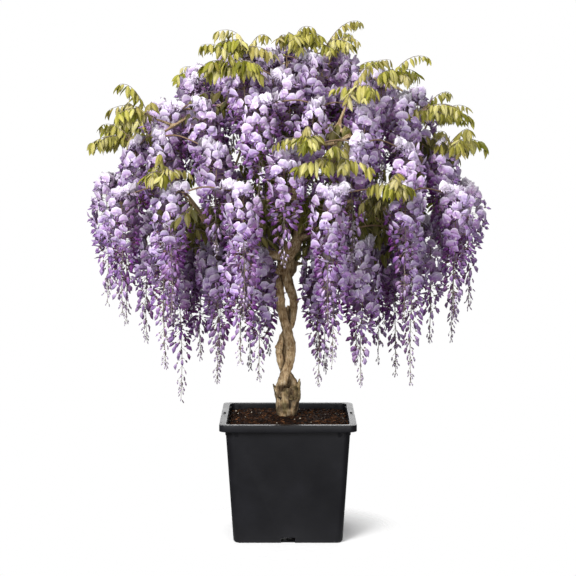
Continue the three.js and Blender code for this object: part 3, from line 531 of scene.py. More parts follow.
# Thin bark that splits along the stem: grey tan ridges, brown furrows. "cut" says where weathered bare wood
# shows, or, below nought, how deep the painted shade is in a hollow or where the stems touch.
upright = add_node(tree, "ShaderNodeMapping", {"Vector": coords, "Scale": (1.0, 1.0, 0.16)})
furrows = add_node(tree, "ShaderNodeTexNoise", {
    "Vector": upright, "Scale": 420.0, "Detail": 5.0, "Roughness": 0.65, "Distortion": 0.6})
blotches = add_node(tree, "ShaderNodeTexNoise", {"Vector": coords, "Scale": 55.0, "Detail": 4.0})
bark_tint = add_node(tree, "ShaderNodeValToRGB", {"Fac": furrows}, [
    (0.34, "#745639"), (0.43, "#C4A176"), (0.54, "#E8CCA0"), (0.68, "#F6E7C8")])
stain = add_node(tree, "ShaderNodeValToRGB", {"Fac": blotches}, [(0.35, "#8E7A60"), (0.6, "#FFFFFF")])
stained = add_node(tree, "ShaderNodeMix", {0: 0.75, 6: bark_tint, 7: stain},
                   data_type="RGBA", blend_type="MULTIPLY")
# Below nought, "cut" carries painted shade, not bare wood.
cut = add_node(tree, "ShaderNodeAttribute", attribute_name="cut").outputs["Fac"]
sawn = add_node(tree, "ShaderNodeValToRGB", {"Fac": furrows}, [
    (0.35, "#7C6536"), (0.5, "#B29C66"), (0.7, "#D2C292")])
opened = add_node(tree, "ShaderNodeMix", {0: cut, 6: stained, 7: sawn}, data_type="RGBA")
height = add_node(tree, "ShaderNodeSeparateXYZ", {0: coords}).outputs["Z"]
foot_darkness = add_node(tree, "ShaderNodeMapRange", {
    "Value": blotches, "From Min": 0.42, "From Max": 0.58, "To Min": 0.2, "To Max": 0.56})
shaded = graded(tree, [  # painted shade up in the crown and in the hollows and creases, and a darker foot
    (height, 0.49, 0.57, 1.0, 0.46), (cut, -1.0, 0.0, 0.12, 1.0), (height, 0.31, 0.35, foot_darkness, 1.0)])
darkened = add_node(tree, "ShaderNodeHueSaturation", {"Value": shaded, "Color": opened})
split = add_node(tree, "ShaderNodeBump", {"Height": furrows, "Strength": 0.9, "Distance": 0.0022})
set_inputs(tree, shader, {"Base Color": darkened, "Normal": split})

woody, given, woody_inputs = start_growth("furrowed_wood", {
    "Section": "Object", "Spiral": "Float", "Roughness": "Float", "Finish": "Material"})
lines = add_node(woody, "GeometryNodeMeshToCurve", {"Mesh": given.outputs["Geometry"]})
climb = add_node(woody, "GeometryNodeSplineParameter").outputs["Length"]
turned = add_node(woody, "ShaderNodeMath", {0: climb, 1: given.outputs["Spiral"]}, operation="MULTIPLY")
wound = add_node(woody, "GeometryNodeSetCurveTilt", {"Curve": lines, "Tilt": turned})
girth = add_node(woody, "GeometryNodeInputNamedAttribute", {"Name": "girth"})
source = add_node(woody, "GeometryNodeObjectInfo", {"Object": given.outputs["Section"]}).outputs["Geometry"]
section = add_node(woody, "GeometryNodeMeshToCurve", {"Mesh": source})
swept = add_node(woody, "GeometryNodeCurveToMesh", {
    "Curve": wound, "Profile Curve": section, "Scale": girth, "Fill Caps": True})
lumps = add_node(woody, "ShaderNodeTexNoise", {
    "Vector": add_node(woody, "GeometryNodeInputPosition"), "Scale": 85.0, "Detail": 4.0, "Roughness": 0.6})
lift = add_node(woody, "ShaderNodeMapRange", {
    "Value": lumps, "From Min": 0.3, "From Max": 0.7, "To Min": -1.0, "To Max": 1.0}, clamp=False)
rise = add_node(woody, "ShaderNodeMath", {0: lift, 1: given.outputs["Roughness"]}, operation="MULTIPLY")
push = add_node(woody, "ShaderNodeVectorMath", {0: add_node(woody, "GeometryNodeInputNormal"), 3: rise},
                operation="SCALE")
roughened = add_node(woody, "GeometryNodeSetPosition", {"Geometry": swept, "Offset": push})
finish_growth(woody, roughened, given.outputs["Finish"])

section_points = []
for j in range(BARK_SIDES):
    angle = 2 * math.pi * j / BARK_SIDES
    radius = 1 + 0.075 * math.sin(3 * angle + 0.6) + 0.05 * math.sin(7 * angle) + 0.045 * (-1) ** j
    section_points.append((UNIT * radius * math.cos(angle), UNIT * radius * math.sin(angle), 0))
edges = [(j, (j + 1) % BARK_SIDES) for j in range(BARK_SIDES)]
bark_section = new_object("bark_section", section_points, [], edges)


def smooth_path(knots, steps):
    """Points on a soft curve through the knots. A knot may carry its radius as a fourth number."""
    knots = [np.array(knot, float) for knot in knots]
    ends = [2 * knots[0] - knots[1], *knots, 2 * knots[-1] - knots[-2]]
    path = []
    for a, b, c, d in zip(ends, ends[1:], ends[2:], ends[3:]):
        for i in range(steps):
            t = i / steps
            path.append(0.5 * (2 * b + (c - a) * t + (2 * a - 5 * b + 4 * c - d) * t * t
                               + (3 * b - a - 3 * c + d) * t ** 3))
    return [*path, knots[-1]]


def set_values(piece, name, values):
    """Stores one number for each point of a piece."""
    stored = piece.data.attributes.new(name, "FLOAT", "POINT")
    stored.data.foreach_set("value", [float(value) for value in values])


def line_object(name, grown):
    """An object of lines for a tree to grow on. A line is its path in millimetres and its values, by name, for
    each point of the path."""
    points, edges, numbers = [], [], {}
    for path, values in grown:
        edges += [(len(points) + i, len(points) + i + 1) for i in range(len(path) - 1)]
        points += [tuple(place[:3]) for place in path]
        for key, given_value in values.items():
            numbers.setdefault(key, []).extend(np.broadcast_to(given_value, len(path)))
    made = new_object(name, points, [], edges)
    for key, given_values in numbers.items():
        set_values(made, key, given_values)
    return made


def corners_of(points):
    """Where the vertices of a mesh lie, in millimetres."""
    return np.array([point.co for point in points]) / MM


wood_pieces, thick_paths = [], []
for name, knotted, steps, spiral, roughness in (
        ("twisted_stems", STEMS, STEPS_PER_KNOT, 9.0, 0.0015),
        ("knot_and_limbs", WOOD.values(), STEPS_PER_KNOT, 14.0, 0.0012),
        ("splintered_edge", SHARDS, SHARD_STEPS, 3.0, 0.0014)):
    paths = [np.array(smooth_path(knots, steps)) for knots in knotted]
    thick_paths.append(paths)
    piece = line_object(name, [(path, {"girth": MM * path[:, 3]}) for path in paths])
    wood_pieces.append(grow(piece, woody, woody_inputs, {
        "Section": bark_section, "Spiral": spiral, "Roughness": roughness, "Finish": wood_bark}))
stems, _, shards = wood_pieces
bpy.data.objects.remove(bark_section)
set_values(shards, "cut", np.full(len(shards.data.vertices), SHARD_CUT))

# Painted shade: the bark is darkened where one stem lies against another.
places = corners_of(stems.data.vertices)
apart = [(np.linalg.norm(places[:, None] - path[:, :3], axis=2) / path[:, 3]).min(axis=1)
         for path in thick_paths[0]]
set_values(stems, "cut", -np.clip((CREASE_WITHIN - np.sort(apart, axis=0)[1]) / CREASE_FADE, 0, 0.9))

stump_rings, cuts = [], []
for height, radius in smooth_path(STUMP_PROFILE, STUMP_STEPS):
    ring = []
    for j in range(STUMP_SIDES):
        angle = 2 * math.pi * j / STUMP_SIDES
        way = (math.cos(angle), math.sin(angle))
        forms = [depth * math.exp(-(((math.degrees(angle) - round_at + 180) % 360 - 180) / wide) ** 2
                                  - ((height - high_at) / tall) ** 2)
                 for depth, round_at, high_at, wide, tall in STUMP_FORMS]
        flutes = 0.05 * math.sin(5 * angle + 0.8) + 0.04 * math.sin(9 * angle + height / 22)
        rough = 0.1 * noise.noise((3 * way[0], 3 * way[1], height / 13))
        # The rim was never sawn level: it dips in front of the left foot and stands up at the right.
        rim_share = min(1, max(0, (height - STUMP_RIM[0]) / STUMP_RIM[1]))
        jags = 5 * noise.noise((4 * way[0], 4 * way[1], 1.7))
        ragged = rim_share * (jags + 45 * forms[2] - 60 * abs(forms[1]))
        reach = radius * (1 + flutes + rough + sum(forms))
        ring.append((TRUNK_X + reach * way[0], reach * way[1], height + ragged))
        # Bark has come off the swellings in front, and the two hollows get painted shade.
        patch = noise.noise((reach * way[0] / 12, reach * way[1] / 12, height / 18))
        cuts.append(min(1.0, max(-1.0, 5 * forms[3] + 2 * forms[2] + 0.5 * patch - 4.5 * max(0, -sum(forms[:2]))
                                 + 0.3 * rim_share)))
    stump_rings.append(ring)
stump = new_object("cut_stump", *loft(stump_rings))
dress(stump, wood_bark)
set_values(stump, "cut", cuts)


def merged_copy(node):
    """A CAD node's mesh with its doubled corners joined, for reading its shape."""
    copy = bmesh.new()
    copy.from_mesh(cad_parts[node].data)
    bmesh.ops.remove_doubles(copy, verts=copy.verts, dist=2e-6)
    return copy


# The twigs keep the course of the solid ones. What the thick wood above already makes is taken out of the copy.
wood_copy = merged_copy("trunk")
wood_skin = BVHTree.FromBMesh(wood_copy)
wood_edges = np.array([[point.co for point in edge.verts] for edge in wood_copy.edges]) / MM
twigs = bpy.data.meshes.new("twigs")
wood_copy.to_mesh(twigs)
wood_copy.free()
corners = corners_of(twigs.vertices)
thick = np.concatenate([path for paths in thick_paths[:2] for path in paths])
apart = np.array([np.min(np.linalg.norm(thick[:, :3] - corner, axis=1) - TWIG_APART[0] * thick[:, 3])
                  for corner in corners])
inside = (apart < TWIG_APART[1]) | (corners[:, 2] < TWIGS_FROM)
editing = bmesh.new()
editing.from_mesh(twigs)
editing.verts.ensure_lookup_table()
bmesh.ops.delete(editing, geom=[editing.verts[i] for i in np.flatnonzero(inside)], context="VERTS")
bmesh.ops.holes_fill(editing, edges=[edge for edge in editing.edges if edge.is_boundary], sides=0)
editing.to_mesh(twigs)
editing.free()
twig_piece = add_object("twigs", twigs)
rounded = twig_piece.modifiers.new("rounded", "SUBSURF")
rounded.levels = rounded.render_levels = 1
dress(settle(twig_piece), wood_bark)
for piece in (stump, twig_piece, *wood_pieces):
    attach(piece, "root")
    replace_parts(piece, "trunk")

# ---- Racemes ----
# The hanging flower clusters. Each has a thin stalk that arches from its spur and turns down, with pea flowers
# set round it in a spiral: wide open at the top, folded lower down, and small grey buds at the tip.

MAIN_STALK = (1.7, 0.6)  # its radius at the spur and at the tip
STALK_SIDES = 4
FLOWER_SPACING = 1.65  # along the stalk, in millimetres
FLOWER_REACH = 43  # from the stalk to the outside of the widest flowers
FLOWER_LENGTH, SHORTEST_STALK = 15.5, 4
HALF_OPEN_FROM, CLOSED_FROM, BUDS_FROM = 0.41, 0.53, 0.74  # shares of the way down
SHARP_OVER = 30  # degrees between two faces of a petal, from where the edge between them stays crisp
FLOWERS_BEHIND = 0.24  # how far up the arched neck flowers still grow, as a share of the length
AXIS_WITHIN = 47.5  # a solid raceme's corners lie this near its axis, in millimetres
STALK_WITHIN = 12  # and those of its stalk this near
FEWEST_POINTS = 14  # fewer corners than these are left over from a neighbour
NECK_DROP = 14  # from the top of the neck's bend down to the first flowers
NECK_STEPS = 7
TIP_RISE = 9  # the last buds hang this far below the stalk's own end
SWAY = 3  # how far a stalk wanders from its line
OPENING_HASTE = (0.68, 1.08)  # the lower the number, the further up a raceme its flowers are still folded
GOLDEN_TURN = 2.39996
RACEME_SEED, SKIP_SEED = 100, 11
STALK, CALYX, BANNER, WING = 0, 1, 2, 3
DOWN_A_RACEME = {  # how each changes from the first flowers down to the tip
    "fullness": [(0, 1), (0.46, 1), (0.58, 0.58), (0.76, 0.44), (1, 0.52)],
    "droop": [(0, 0), (0.12, 0.36), (0.35, 0.6), (0.5, 0.76), (0.75, 0.92), (1, 1)],
    "size": [(0, 0.98), (0.4, 1), (0.74, 0.9), (0.86, 0.76), (1, 0.56)],
    "spread": [(0, 0.62), (0.12, 0.95), (0.28, 1), (0.45, 0.84), (0.6, 0.69), (0.76, 0.58), (0.9, 0.46),
               (1, 0.28)],
    "nod": [(0, 0), (0.3, 0.22), (0.5, 0.5), (0.75, 0.9), (1, 1)],
}
FLOWER_DRAWS = {  # what each flower draws for itself, and its range
    "tone": (0.0, 1.0), "kind": (0.0, 1.0), "skew": (-0.45, 0.45), "lift": (-0.26, 0.26),
    "vigour": (0.82, 1.12), "push": (0.82, 1.08), "haste": (-0.06, 0.06), "roll": (-0.6, 0.6),
    "nod": (-0.42, 0.45), "swing": (-0.62, 0.62)}


def spindle(path, girths, sides, part, bulge=(1, 1)):
    """A closed body along a path, pointed at both ends. Girths are its half widths between the ends."""
    points, faces = [path[0]], []
    for (x, y, z), girth in zip(path[1:-1], girths):
        for j in range(sides):
            angle = 2 * math.pi * (j + 0.5) / sides
            points.append((x, y + girth * bulge[0] * math.cos(angle), z + girth * bulge[1] * math.sin(angle)))
    points.append(path[-1])
    last = len(points) - 1
    for j in range(sides):
        k = (j + 1) % sides
        faces.append((0, 1 + k, 1 + j))
        for r in range(len(girths) - 1):
            a = 1 + r * sides
            faces.append((a + j, a + k, a + sides + k, a + sides + j))
        a = last - sides
        faces.append((a + j, a + k, last))
    return points, faces, [part] * len(points), [i / last for i in range(len(points))]


def petal(point, *rows):
    """A thin closed petal, creased down its middle. Its top is square for a point of 0 and a peak for 1. A row
    is half its width, its reach, its height, and how far its left and its right side sweep back."""
    points, rims = [], []
    for v, (half, x, z, left, right) in enumerate(rows):
        share = v / (len(rows) - 1)
        for s in (-1, -0.5, 0, 0.5, 1):
            back = (left if s < 0 else right) * abs(s) ** 1.2
            points.append((x - back, half * s, z - share * point * half * abs(s) ** 1.5))
            rims.append(max(abs(s) * 0.7, share))
    rows_of = [list(range(5 * v, 5 * v + 5)) for v in range(len(rows))]
    faces = [(low[u], low[u + 1], high[u + 1], high[u])
             for low, high in zip(rows_of, rows_of[1:]) for u in range(4)]
    border = (rows_of[0] + [row[-1] for row in rows_of[1:-1]]
              + rows_of[-1][::-1] + [row[0] for row in rows_of[-2:0:-1]])
    middle = np.mean([points[i] for i in rows_of[len(rows) // 2]], axis=0) - (0.7, 0, 0)
    faces += [(following, here, len(points)) for here, following in zip(border, border[1:] + border[:1])]
    return [*points, tuple(middle)], faces, [BANNER] * (len(points) + 1), [*rims, 0.5]


def soft_source(name, points, faces, parts, rims):
    """A source for instances. Each point knows its part, and how near its petal's rim it lies."""
    made = new_object(name, points, faces)
    set_values(made, "part", parts)
    set_values(made, "rim", rims)
    made.data.shade_smooth()
    made.data.set_sharp_from_angle(angle=math.radians(SHARP_OVER))
    return made


# A flower lies along X from its calyx outwards, with its banner standing up. Sizes are in millimetres.
calyx = spindle([(-0.5, 0, 0), (2.6, 0, 0.1), (5.2, 0, 0.2)], [2.7], 3, CALYX)
wings = [spindle([(3.5, s * 0.8, 0), (9.5, s * 2.8, -2.6), (15.5, s * 2.0, -6.6)], [3.3], 4, WING, (0.62, 1))
         for s in (-1, 1)]
BANNERS = {  # how peaked the petal is, and its rows from the calyx up
    "Wide flower": (0.4, (3.4, 4.0, 0.4, 1.0, 1.0), (11.8, 8.0, 8.2, 4.6, 3.8), (9.4, 5.2, 18.8, 2.2, 2.8)),
    "Folded flower": (0.6, (3.2, 4.0, 0.4, 0.6, 0.9), (10.8, 9.0, 8.0, 0.6, 5.6), (7.0, 8.0, 19.4, 0.4, 3.4)),
    "Hooded flower": (1.0, (3.4, 4.0, 0.6, 1.0, 0.8), (10.4, 9.6, 8.8, 4.8, 4.0), (7.4, 10.4, 20.0, 3.4, 2.8)),
}
half_banner = petal(0.5, (3.0, 3.8, 1.2, 0.8, 0.8), (8.0, 9.6, 7.0, 3.8, 3.0), (4.6, 15.0, 11.4, 2.6, 2.2))
folded_wings = spindle([(3.5, 0, 0), (11.0, 0, -1.6), (19.0, 0, -4.2)], [3.9], 4, WING, (0.9, 1))
shut_petals = spindle([(2.5, 0, 0.3), (8.0, 0, 1.0), (14.5, 0, 0.4), (20.5, 0, -2.6)], [3.4, 4.3], 5, WING,
                      (0.85, 1))
FLOWERS = {
    **{name: [calyx, petal(*banner), *wings] for name, banner in BANNERS.items()},
    "Half-open flower": [calyx, half_banner, folded_wings],
    "Closed flower": [calyx, shut_petals],
    "Bud": [spindle([(-0.4, 0, 0), (2.4, 0, 0), (8.6, 0, 0.2), (14, 0, -0.8)], [1.9, 2.5], 4, CALYX)],
    "Flower stalk": [spindle([(0, 0, 0), (UNIT / 2, 0, 0), (UNIT, 0, 0)], [0.55], 3, STALK)],
}
flower_sources = {}
for name, shapes in FLOWERS.items():
    parts, rims = ([value for shape in shapes for value in shape[at]] for at in (2, 3))
    flower_sources[name] = soft_source(name, *join_shapes([shape[:2] for shape in shapes]), parts, rims)
bud_parts = [CALYX] * 5 + [WING] * 5  # the calyx covers the lower half of a bud
flower_sources["Bud"].data.attributes["part"].data.foreach_set("value", bud_parts)
FLOWER_STAGES = [  # source, stages of opening and share of the flowers at that stage
    ("Wide flower", (-1.0, HALF_OPEN_FROM), (0.0, 0.42)),
    ("Folded flower", (-1.0, HALF_OPEN_FROM), (0.42, 0.7)),
    ("Hooded flower", (-1.0, HALF_OPEN_FROM), (0.7, 1.01)),
    ("Half-open flower", (HALF_OPEN_FROM, CLOSED_FROM), (0, 1.01)),
    ("Closed flower", (CLOSED_FROM, BUDS_FROM), (0, 1.01)),
    ("Bud", (BUDS_FROM, 2.0), (0, 1.01)),
]

petal_skin, tree, shader, coords = start_material(
    "wisteria_petal", roughness=0.6, specular_ior_level=0.25, subsurface_weight=0.06, subsurface_scale=0.003,
    subsurface_radius=(1.0, 0.7, 1.0))
# Thin matt petals that let some light through: lilac banners with a cream eye and pale rims, violet wings. The
# oldest, at the top of a raceme, have faded, and those below are deeper. Petals that face the trunk get painted
# shade: darker, richer, and shifted a little towards red.
read = {name: add_node(tree, "ShaderNodeAttribute", attribute_name=name).outputs["Fac"]
        for name in ("part", "rim", "tone", "down", "shade", "outward")}
banner_tint = add_node(tree, "ShaderNodeValToRGB", {"Fac": read["rim"]}, [
    (0.0, "#E6DDC8"), (0.2, "#D6CCDA"), (0.45, "#A48BBC"), (0.75, "#B2A3C6"), (1.0, "#D2CADA")])
wing_tint = add_node(tree, "ShaderNodeValToRGB", {"Fac": read["rim"]}, [
    (0.0, "#BBA7C8"), (0.3, "#957BAC"), (0.65, "#7B6095"), (1.0, "#5E4477")])
calyx_tint = add_node(tree, "ShaderNodeValToRGB", {"Fac": read["rim"]}, [
    (0.0, "#6A5340"), (0.6, "#66464C"), (1.0, "#5E4258")])
is_banner = add_node(tree, "ShaderNodeMath", {0: read["part"], 1: BANNER + 0.0, 2: 0.5}, operation="COMPARE")
is_calyx = add_node(tree, "ShaderNodeMath", {0: read["part"], 1: CALYX + 0.5}, operation="LESS_THAN")
flower_tint = add_node(tree, "ShaderNodeMix", {0: is_banner, 6: wing_tint, 7: banner_tint}, data_type="RGBA")
flower_tint = add_node(tree, "ShaderNodeMix", {0: is_calyx, 6: flower_tint, 7: calyx_tint}, data_type="RGBA")
streaks = add_node(tree, "ShaderNodeTexNoise", {"Vector": coords, "Scale": 330.0, "Detail": 3.0})
age_line = add_node(tree, "ShaderNodeFloatCurve", {"Value": read["down"]}, [
    (0, 0.87), (0.35, 0.77), (0.5, 0.77), (0.65, 0.95), (1, 1)])
depth_line = add_node(tree, "ShaderNodeFloatCurve", {"Value": read["down"]}, [
    (0, 0.62), (0.2, 0.82), (0.42, 0.95), (0.65, 0.7), (1, 0.3)])
# Value: faded at the top of a raceme, by the flower's tone and the raceme's own shade of colour, by streaks,
# and with painted shade on petals that face the trunk.
light = graded(tree, [
    (age_line, 0.0, 1.0, 0.0, 1.2), (read["tone"], 0.0, 1.0, 0.87, 1.05), (read["shade"], 0.0, 1.0, 1.06, 0.76),
    (streaks, 0.35, 0.65, 0.88, 1.1), (read["outward"], -0.8, 0.2, 0.36, 1.04)])
# Saturation: by the way down the raceme, and richer in the painted shade on petals that face the trunk.
depth = graded(tree, [(depth_line, 0.0, 1.0, 0.0, 1.18), (read["outward"], -0.8, 0.4, 1.45, 1.0)])
warmth = add_node(tree, "ShaderNodeMapRange", {"Value": read["tone"], "To Min": 0.535, "To Max": 0.505})
# The painted shade on petals that face the trunk is also shifted towards red.
painted_shade_hue = add_node(tree, "ShaderNodeMapRange", {
    "Value": read["outward"], "From Min": -0.8, "From Max": 0.45, "To Min": 0.038, "To Max": 0.0})
hue = add_node(tree, "ShaderNodeMath", {0: warmth, 1: painted_shade_hue}, operation="ADD")
petal_colour = add_node(tree, "ShaderNodeHueSaturation", {
    "Hue": hue, "Saturation": depth, "Value": light, "Color": flower_tint})
crease = add_node(tree, "ShaderNodeBump", {"Height": streaks, "Strength": 0.35, "Distance": 0.0008})
set_inputs(tree, shader, {"Base Color": petal_colour, "Normal": crease})

green_stalk, tree, shader, coords = start_material("wisteria_stalk", roughness=0.7, specular_ior_level=0.3)
# Soft young stalks under short down: buff where the sun has turned them, grey green towards the tip.
way_down = add_node(tree, "ShaderNodeAttribute", attribute_name="down").outputs["Fac"]
patches = add_node(tree, "ShaderNodeTexNoise", {"Vector": coords, "Scale": 90.0, "Detail": 3.0})
ripening = add_node(tree, "ShaderNodeMath", {0: way_down, 1: patches}, operation="ADD")
stalk_tint = add_node(tree, "ShaderNodeValToRGB", {"Fac": ripening}, [
    (0.2, "#6B5541"), (0.6, "#7F6A58"), (1.0, "#70665C")])
set_inputs(tree, shader, {"Base Color": stalk_tint})


def start_stalks(made, given):
    """A skin round the lines of a piece, as thick as their "girth" says, and evenly spaced points along them.
    Returns also what reads how far down its stalk a point lies, its order, and its own number to draw by."""
    lines = add_node(made, "GeometryNodeMeshToCurve", {"Mesh": given.outputs["Geometry"]})
    girth = add_node(made, "GeometryNodeInputNamedAttribute", {"Name": "girth"})
    section = add_node(made, "GeometryNodeCurvePrimitiveCircle", {"Resolution": STALK_SIDES, "Radius": 1.0})
    skin = add_node(made, "GeometryNodeCurveToMesh", {
        "Curve": lines, "Profile Curve": section, "Scale": girth, "Fill Caps": True})
    points = add_node(made, "GeometryNodeCurveToPoints", {"Curve": lines, "Length": given.outputs["Spacing"]},
                      mode="LENGTH")
    down = add_node(made, "GeometryNodeInputNamedAttribute", {"Name": "down"})
    order = add_node(made, "GeometryNodeInputIndex")
    own = add_node(made, "ShaderNodeMath", {0: given.outputs["Seed"], 1: 1000.0, 2: order},
                   operation="MULTIPLY_ADD")
    return skin, points, down, order, own


def store_draws(made, spots, own, draws, first_seed=0):
    """Keeps each point's draws on it, by name, before it is moved. Returns the points and what reads them."""
    for seed, (name, (low, high)) in enumerate(draws.items(), first_seed):
        draw = add_node(made, "FunctionNodeRandomValue", {2: low, 3: high, "ID": own, "Seed": seed})
        spots = add_node(made, "GeometryNodeStoreNamedAttribute", {
            "Geometry": spots, "Name": name, "Value": draw})
    return spots, {name: add_node(made, "GeometryNodeInputNamedAttribute", {"Name": name}) for name in draws}


racemes, given, raceme_inputs = start_growth("flowers_on_stalks", {
    "Spacing": "Float", "Reach": "Float", "Seed": "Int", **dict.fromkeys(FLOWERS, "Object"),
    "Petal": "Material", "Stalk": "Material"})
stalk_skin, points, down, order, own = start_stalks(racemes, given)
along = {name: add_node(racemes, "ShaderNodeFloatCurve", {"Value": down}, stops)
         for name, stops in DOWN_A_RACEME.items()}
too_far = add_node(racemes, "ShaderNodeMath", {0: down, 1: -FLOWERS_BEHIND}, operation="LESS_THAN")
chance = add_node(racemes, "FunctionNodeRandomValue", {2: 0.0, 3: 1.0, "ID": own, "Seed": SKIP_SEED})
skipped = add_node(racemes, "ShaderNodeMath", {0: chance, 1: along["fullness"]}, operation="GREATER_THAN")
needless = add_node(racemes, "ShaderNodeMath", {0: too_far, 1: skipped}, operation="MAXIMUM")
chosen = add_node(racemes, "GeometryNodeDeleteGeometry", {
    "Geometry": points.outputs["Points"], "Selection": needless})
spots, drawn = store_draws(racemes, chosen, own, FLOWER_DRAWS)
spiral = add_node(racemes, "ShaderNodeMath", {0: order, 1: GOLDEN_TURN, 2: drawn["skew"]},
                  operation="MULTIPLY_ADD")
spots = add_node(racemes, "GeometryNodeStoreNamedAttribute", {
    "Geometry": spots, "Name": "around", "Value": spiral})
turn = add_node(racemes, "GeometryNodeInputNamedAttribute", {"Name": "around"})

droop = add_node(racemes, "ShaderNodeMapRange", {"Value": along["droop"], "To Min": -0.75, "To Max": 1.05})
droop = add_node(racemes, "ShaderNodeMath", {0: droop, 1: drawn["lift"]}, operation="ADD")
size = add_node(racemes, "ShaderNodeMath", {0: along["size"], 1: drawn["vigour"]}, operation="MULTIPLY")
spread = along["spread"]
for factor in (given.outputs["Reach"], drawn["push"]):
    spread = add_node(racemes, "ShaderNodeMath", {0: spread, 1: factor}, operation="MULTIPLY")
flower_length = add_node(racemes, "ShaderNodeMath", {0: size, 1: FLOWER_LENGTH * MM}, operation="MULTIPLY")
stalk_length = add_node(racemes, "ShaderNodeMath", {0: spread, 1: flower_length}, operation="SUBTRACT")
stalk_length = add_node(racemes, "ShaderNodeMath", {0: stalk_length, 1: SHORTEST_STALK * MM},
                        operation="MAXIMUM")
heading = add_node(racemes, "ShaderNodeCombineXYZ", {"Y": droop, "Z": turn})
ahead = add_node(racemes, "ShaderNodeCombineXYZ", {"X": stalk_length})
out = add_node(racemes, "ShaderNodeVectorRotate", {"Vector": ahead, "Rotation": heading},
               rotation_type="EULER_XYZ")
place = add_node(racemes, "GeometryNodeInputPosition")
# How far each flower faces out from the trunk; the petal material paints shade on those that face it.
from_trunk = add_node(racemes, "ShaderNodeVectorMath", {0: place, 1: (1, 1, 0)}, operation="MULTIPLY")
ways = [add_node(racemes, "ShaderNodeVectorMath", {0: way}, operation="NORMALIZE")
        for way in (from_trunk, out)]
outward = add_node(racemes, "ShaderNodeVectorMath", {0: ways[0], 1: ways[1]}, operation="DOT_PRODUCT")
spots = add_node(racemes, "GeometryNodeStoreNamedAttribute", {
    "Geometry": spots, "Name": "outward", "Value": outward})
source = {name: add_node(racemes, "GeometryNodeObjectInfo", {"Object": given.outputs[name]}).outputs["Geometry"]
          for name in FLOWERS}
stalk_scale = add_node(racemes, "ShaderNodeCombineXYZ", {"X": stalk_length, "Y": 1.0, "Z": 1.0})
stalks = add_node(racemes, "GeometryNodeInstanceOnPoints", {
    "Points": spots, "Instance": source["Flower stalk"], "Rotation": heading, "Scale": stalk_scale})
ends = add_node(racemes, "GeometryNodeSetPosition", {"Geometry": spots, "Offset": out})
opened = add_node(racemes, "ShaderNodeMath", {0: down, 1: drawn["haste"]}, operation="ADD")
nod = add_node(racemes, "ShaderNodeMapRange", {"Value": along["nod"], "To Min": -0.2, "To Max": 1.15})
nod = add_node(racemes, "ShaderNodeMath", {0: nod, 1: drawn["nod"]}, operation="ADD")
swing = add_node(racemes, "ShaderNodeMath", {0: turn, 1: drawn["swing"]}, operation="ADD")
nodding = add_node(racemes, "ShaderNodeCombineXYZ", {"X": drawn["roll"], "Y": nod, "Z": swing})
joined = add_node(racemes, "GeometryNodeJoinGeometry")
for name, stage, share in FLOWER_STAGES:
    picked = 1.0
    for value, (low, high) in ((opened, stage), (drawn["kind"], share)):
        for test, limit in (("GREATER_THAN", low - 0.0001), ("LESS_THAN", high)):
            passed = add_node(racemes, "ShaderNodeMath", {0: value, 1: limit}, operation=test)
            picked = add_node(racemes, "ShaderNodeMath", {0: picked, 1: passed}, operation="MULTIPLY")
    placed = add_node(racemes, "GeometryNodeInstanceOnPoints", {
        "Points": ends, "Selection": picked, "Instance": source[name], "Rotation": nodding, "Scale": size})
    set_inputs(racemes, joined, {0: placed})
for stalk in (stalk_skin, stalks):
    set_inputs(racemes, joined, {0: stalk})
finish_growth(racemes, joined, given.outputs["Petal"], given.outputs["Stalk"])


def read_solid(node):
    """A node's corners, the one nearest the wood that carries it, and the place there on the wood."""
    copy = merged_copy(node)
    corners = corners_of(copy.verts)
    seats = [(wood_skin.find_nearest(point.co), point.co.copy()) for point in copy.verts]
    (place, _, _, _), own_corner = min(seats, key=lambda seat: seat[0][3])
    copy.free()
    return corners, np.array(own_corner) / MM, np.array(place) / MM


flower_places, neck_places = [], []  # the inner leaves keep off the first and grow from the second
SPRAYS = sorted(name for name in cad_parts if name.startswith("raceme_spray"))
for number, spray in enumerate(SPRAYS):
    draw = np.random.default_rng(RACEME_SEED + number)
    left, seat, wood_place = read_solid(spray)
    left = left[np.argsort(left[:, 2])]
    grown = []
    while len(left):  # the lowest corner left is the tip of the next raceme
        tip = left[0] + (0, 0, TIP_RISE)
        off = np.hypot(*(left - tip)[:, :2].T)
        if (off < AXIS_WITHIN).sum() >= FEWEST_POINTS:
            bend = np.array((tip[0], tip[1], left[off < STALK_WITHIN][:, 2].max()))
            head = bend[2] - NECK_DROP
            reach = math.hypot(*(bend - seat)[:2])
            sway = draw.uniform(-SWAY, SWAY, (2, 2))
            knots = [wood_place, 0.6 * seat + 0.4 * bend + (0, 0, 3 + 0.07 * reach), bend + (0, 0, -2)]
            for share, (dx, dy) in ((0.0, (0, 0)), (0.35, sway[0]), (0.7, sway[1]), (1.0, (0, 0))):
                knots.append((tip[0] + dx, tip[1] + dy, head + share * (tip[2] - head)))
            path = smooth_path(knots, NECK_STEPS)
            bent = 2 * NECK_STEPS  # the steps up to the top of the bend
            haste = draw.uniform(*OPENING_HASTE)
            downs = [-0.05 - math.dist(place, path[bent]) / (head - tip[2]) if i <= bent else
                     max(0, (head - place[2]) / (head - tip[2])) ** haste for i, place in enumerate(path)]
            girths = np.interp(np.linspace(0, 1, len(path)), (0, 1), MAIN_STALK) * MM
            grown.append((path, {"girth": girths, "down": downs, "shade": draw.uniform(0, 1)}))
            flower_places.extend(path[bent:])
            neck_places.extend(path[1:bent])
        left = left[off >= AXIS_WITHIN]
    piece = line_object(spray.replace("raceme_spray", "flowering_spray"), grown)
    grow(piece, racemes, raceme_inputs, {
        "Spacing": FLOWER_SPACING * MM, "Reach": FLOWER_REACH * MM, "Seed": number, **flower_sources,
        "Petal": petal_skin, "Stalk": green_stalk})
    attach(piece, "root")
    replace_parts(piece, spray)
for source in flower_sources.values():
    bpy.data.objects.remove(source)
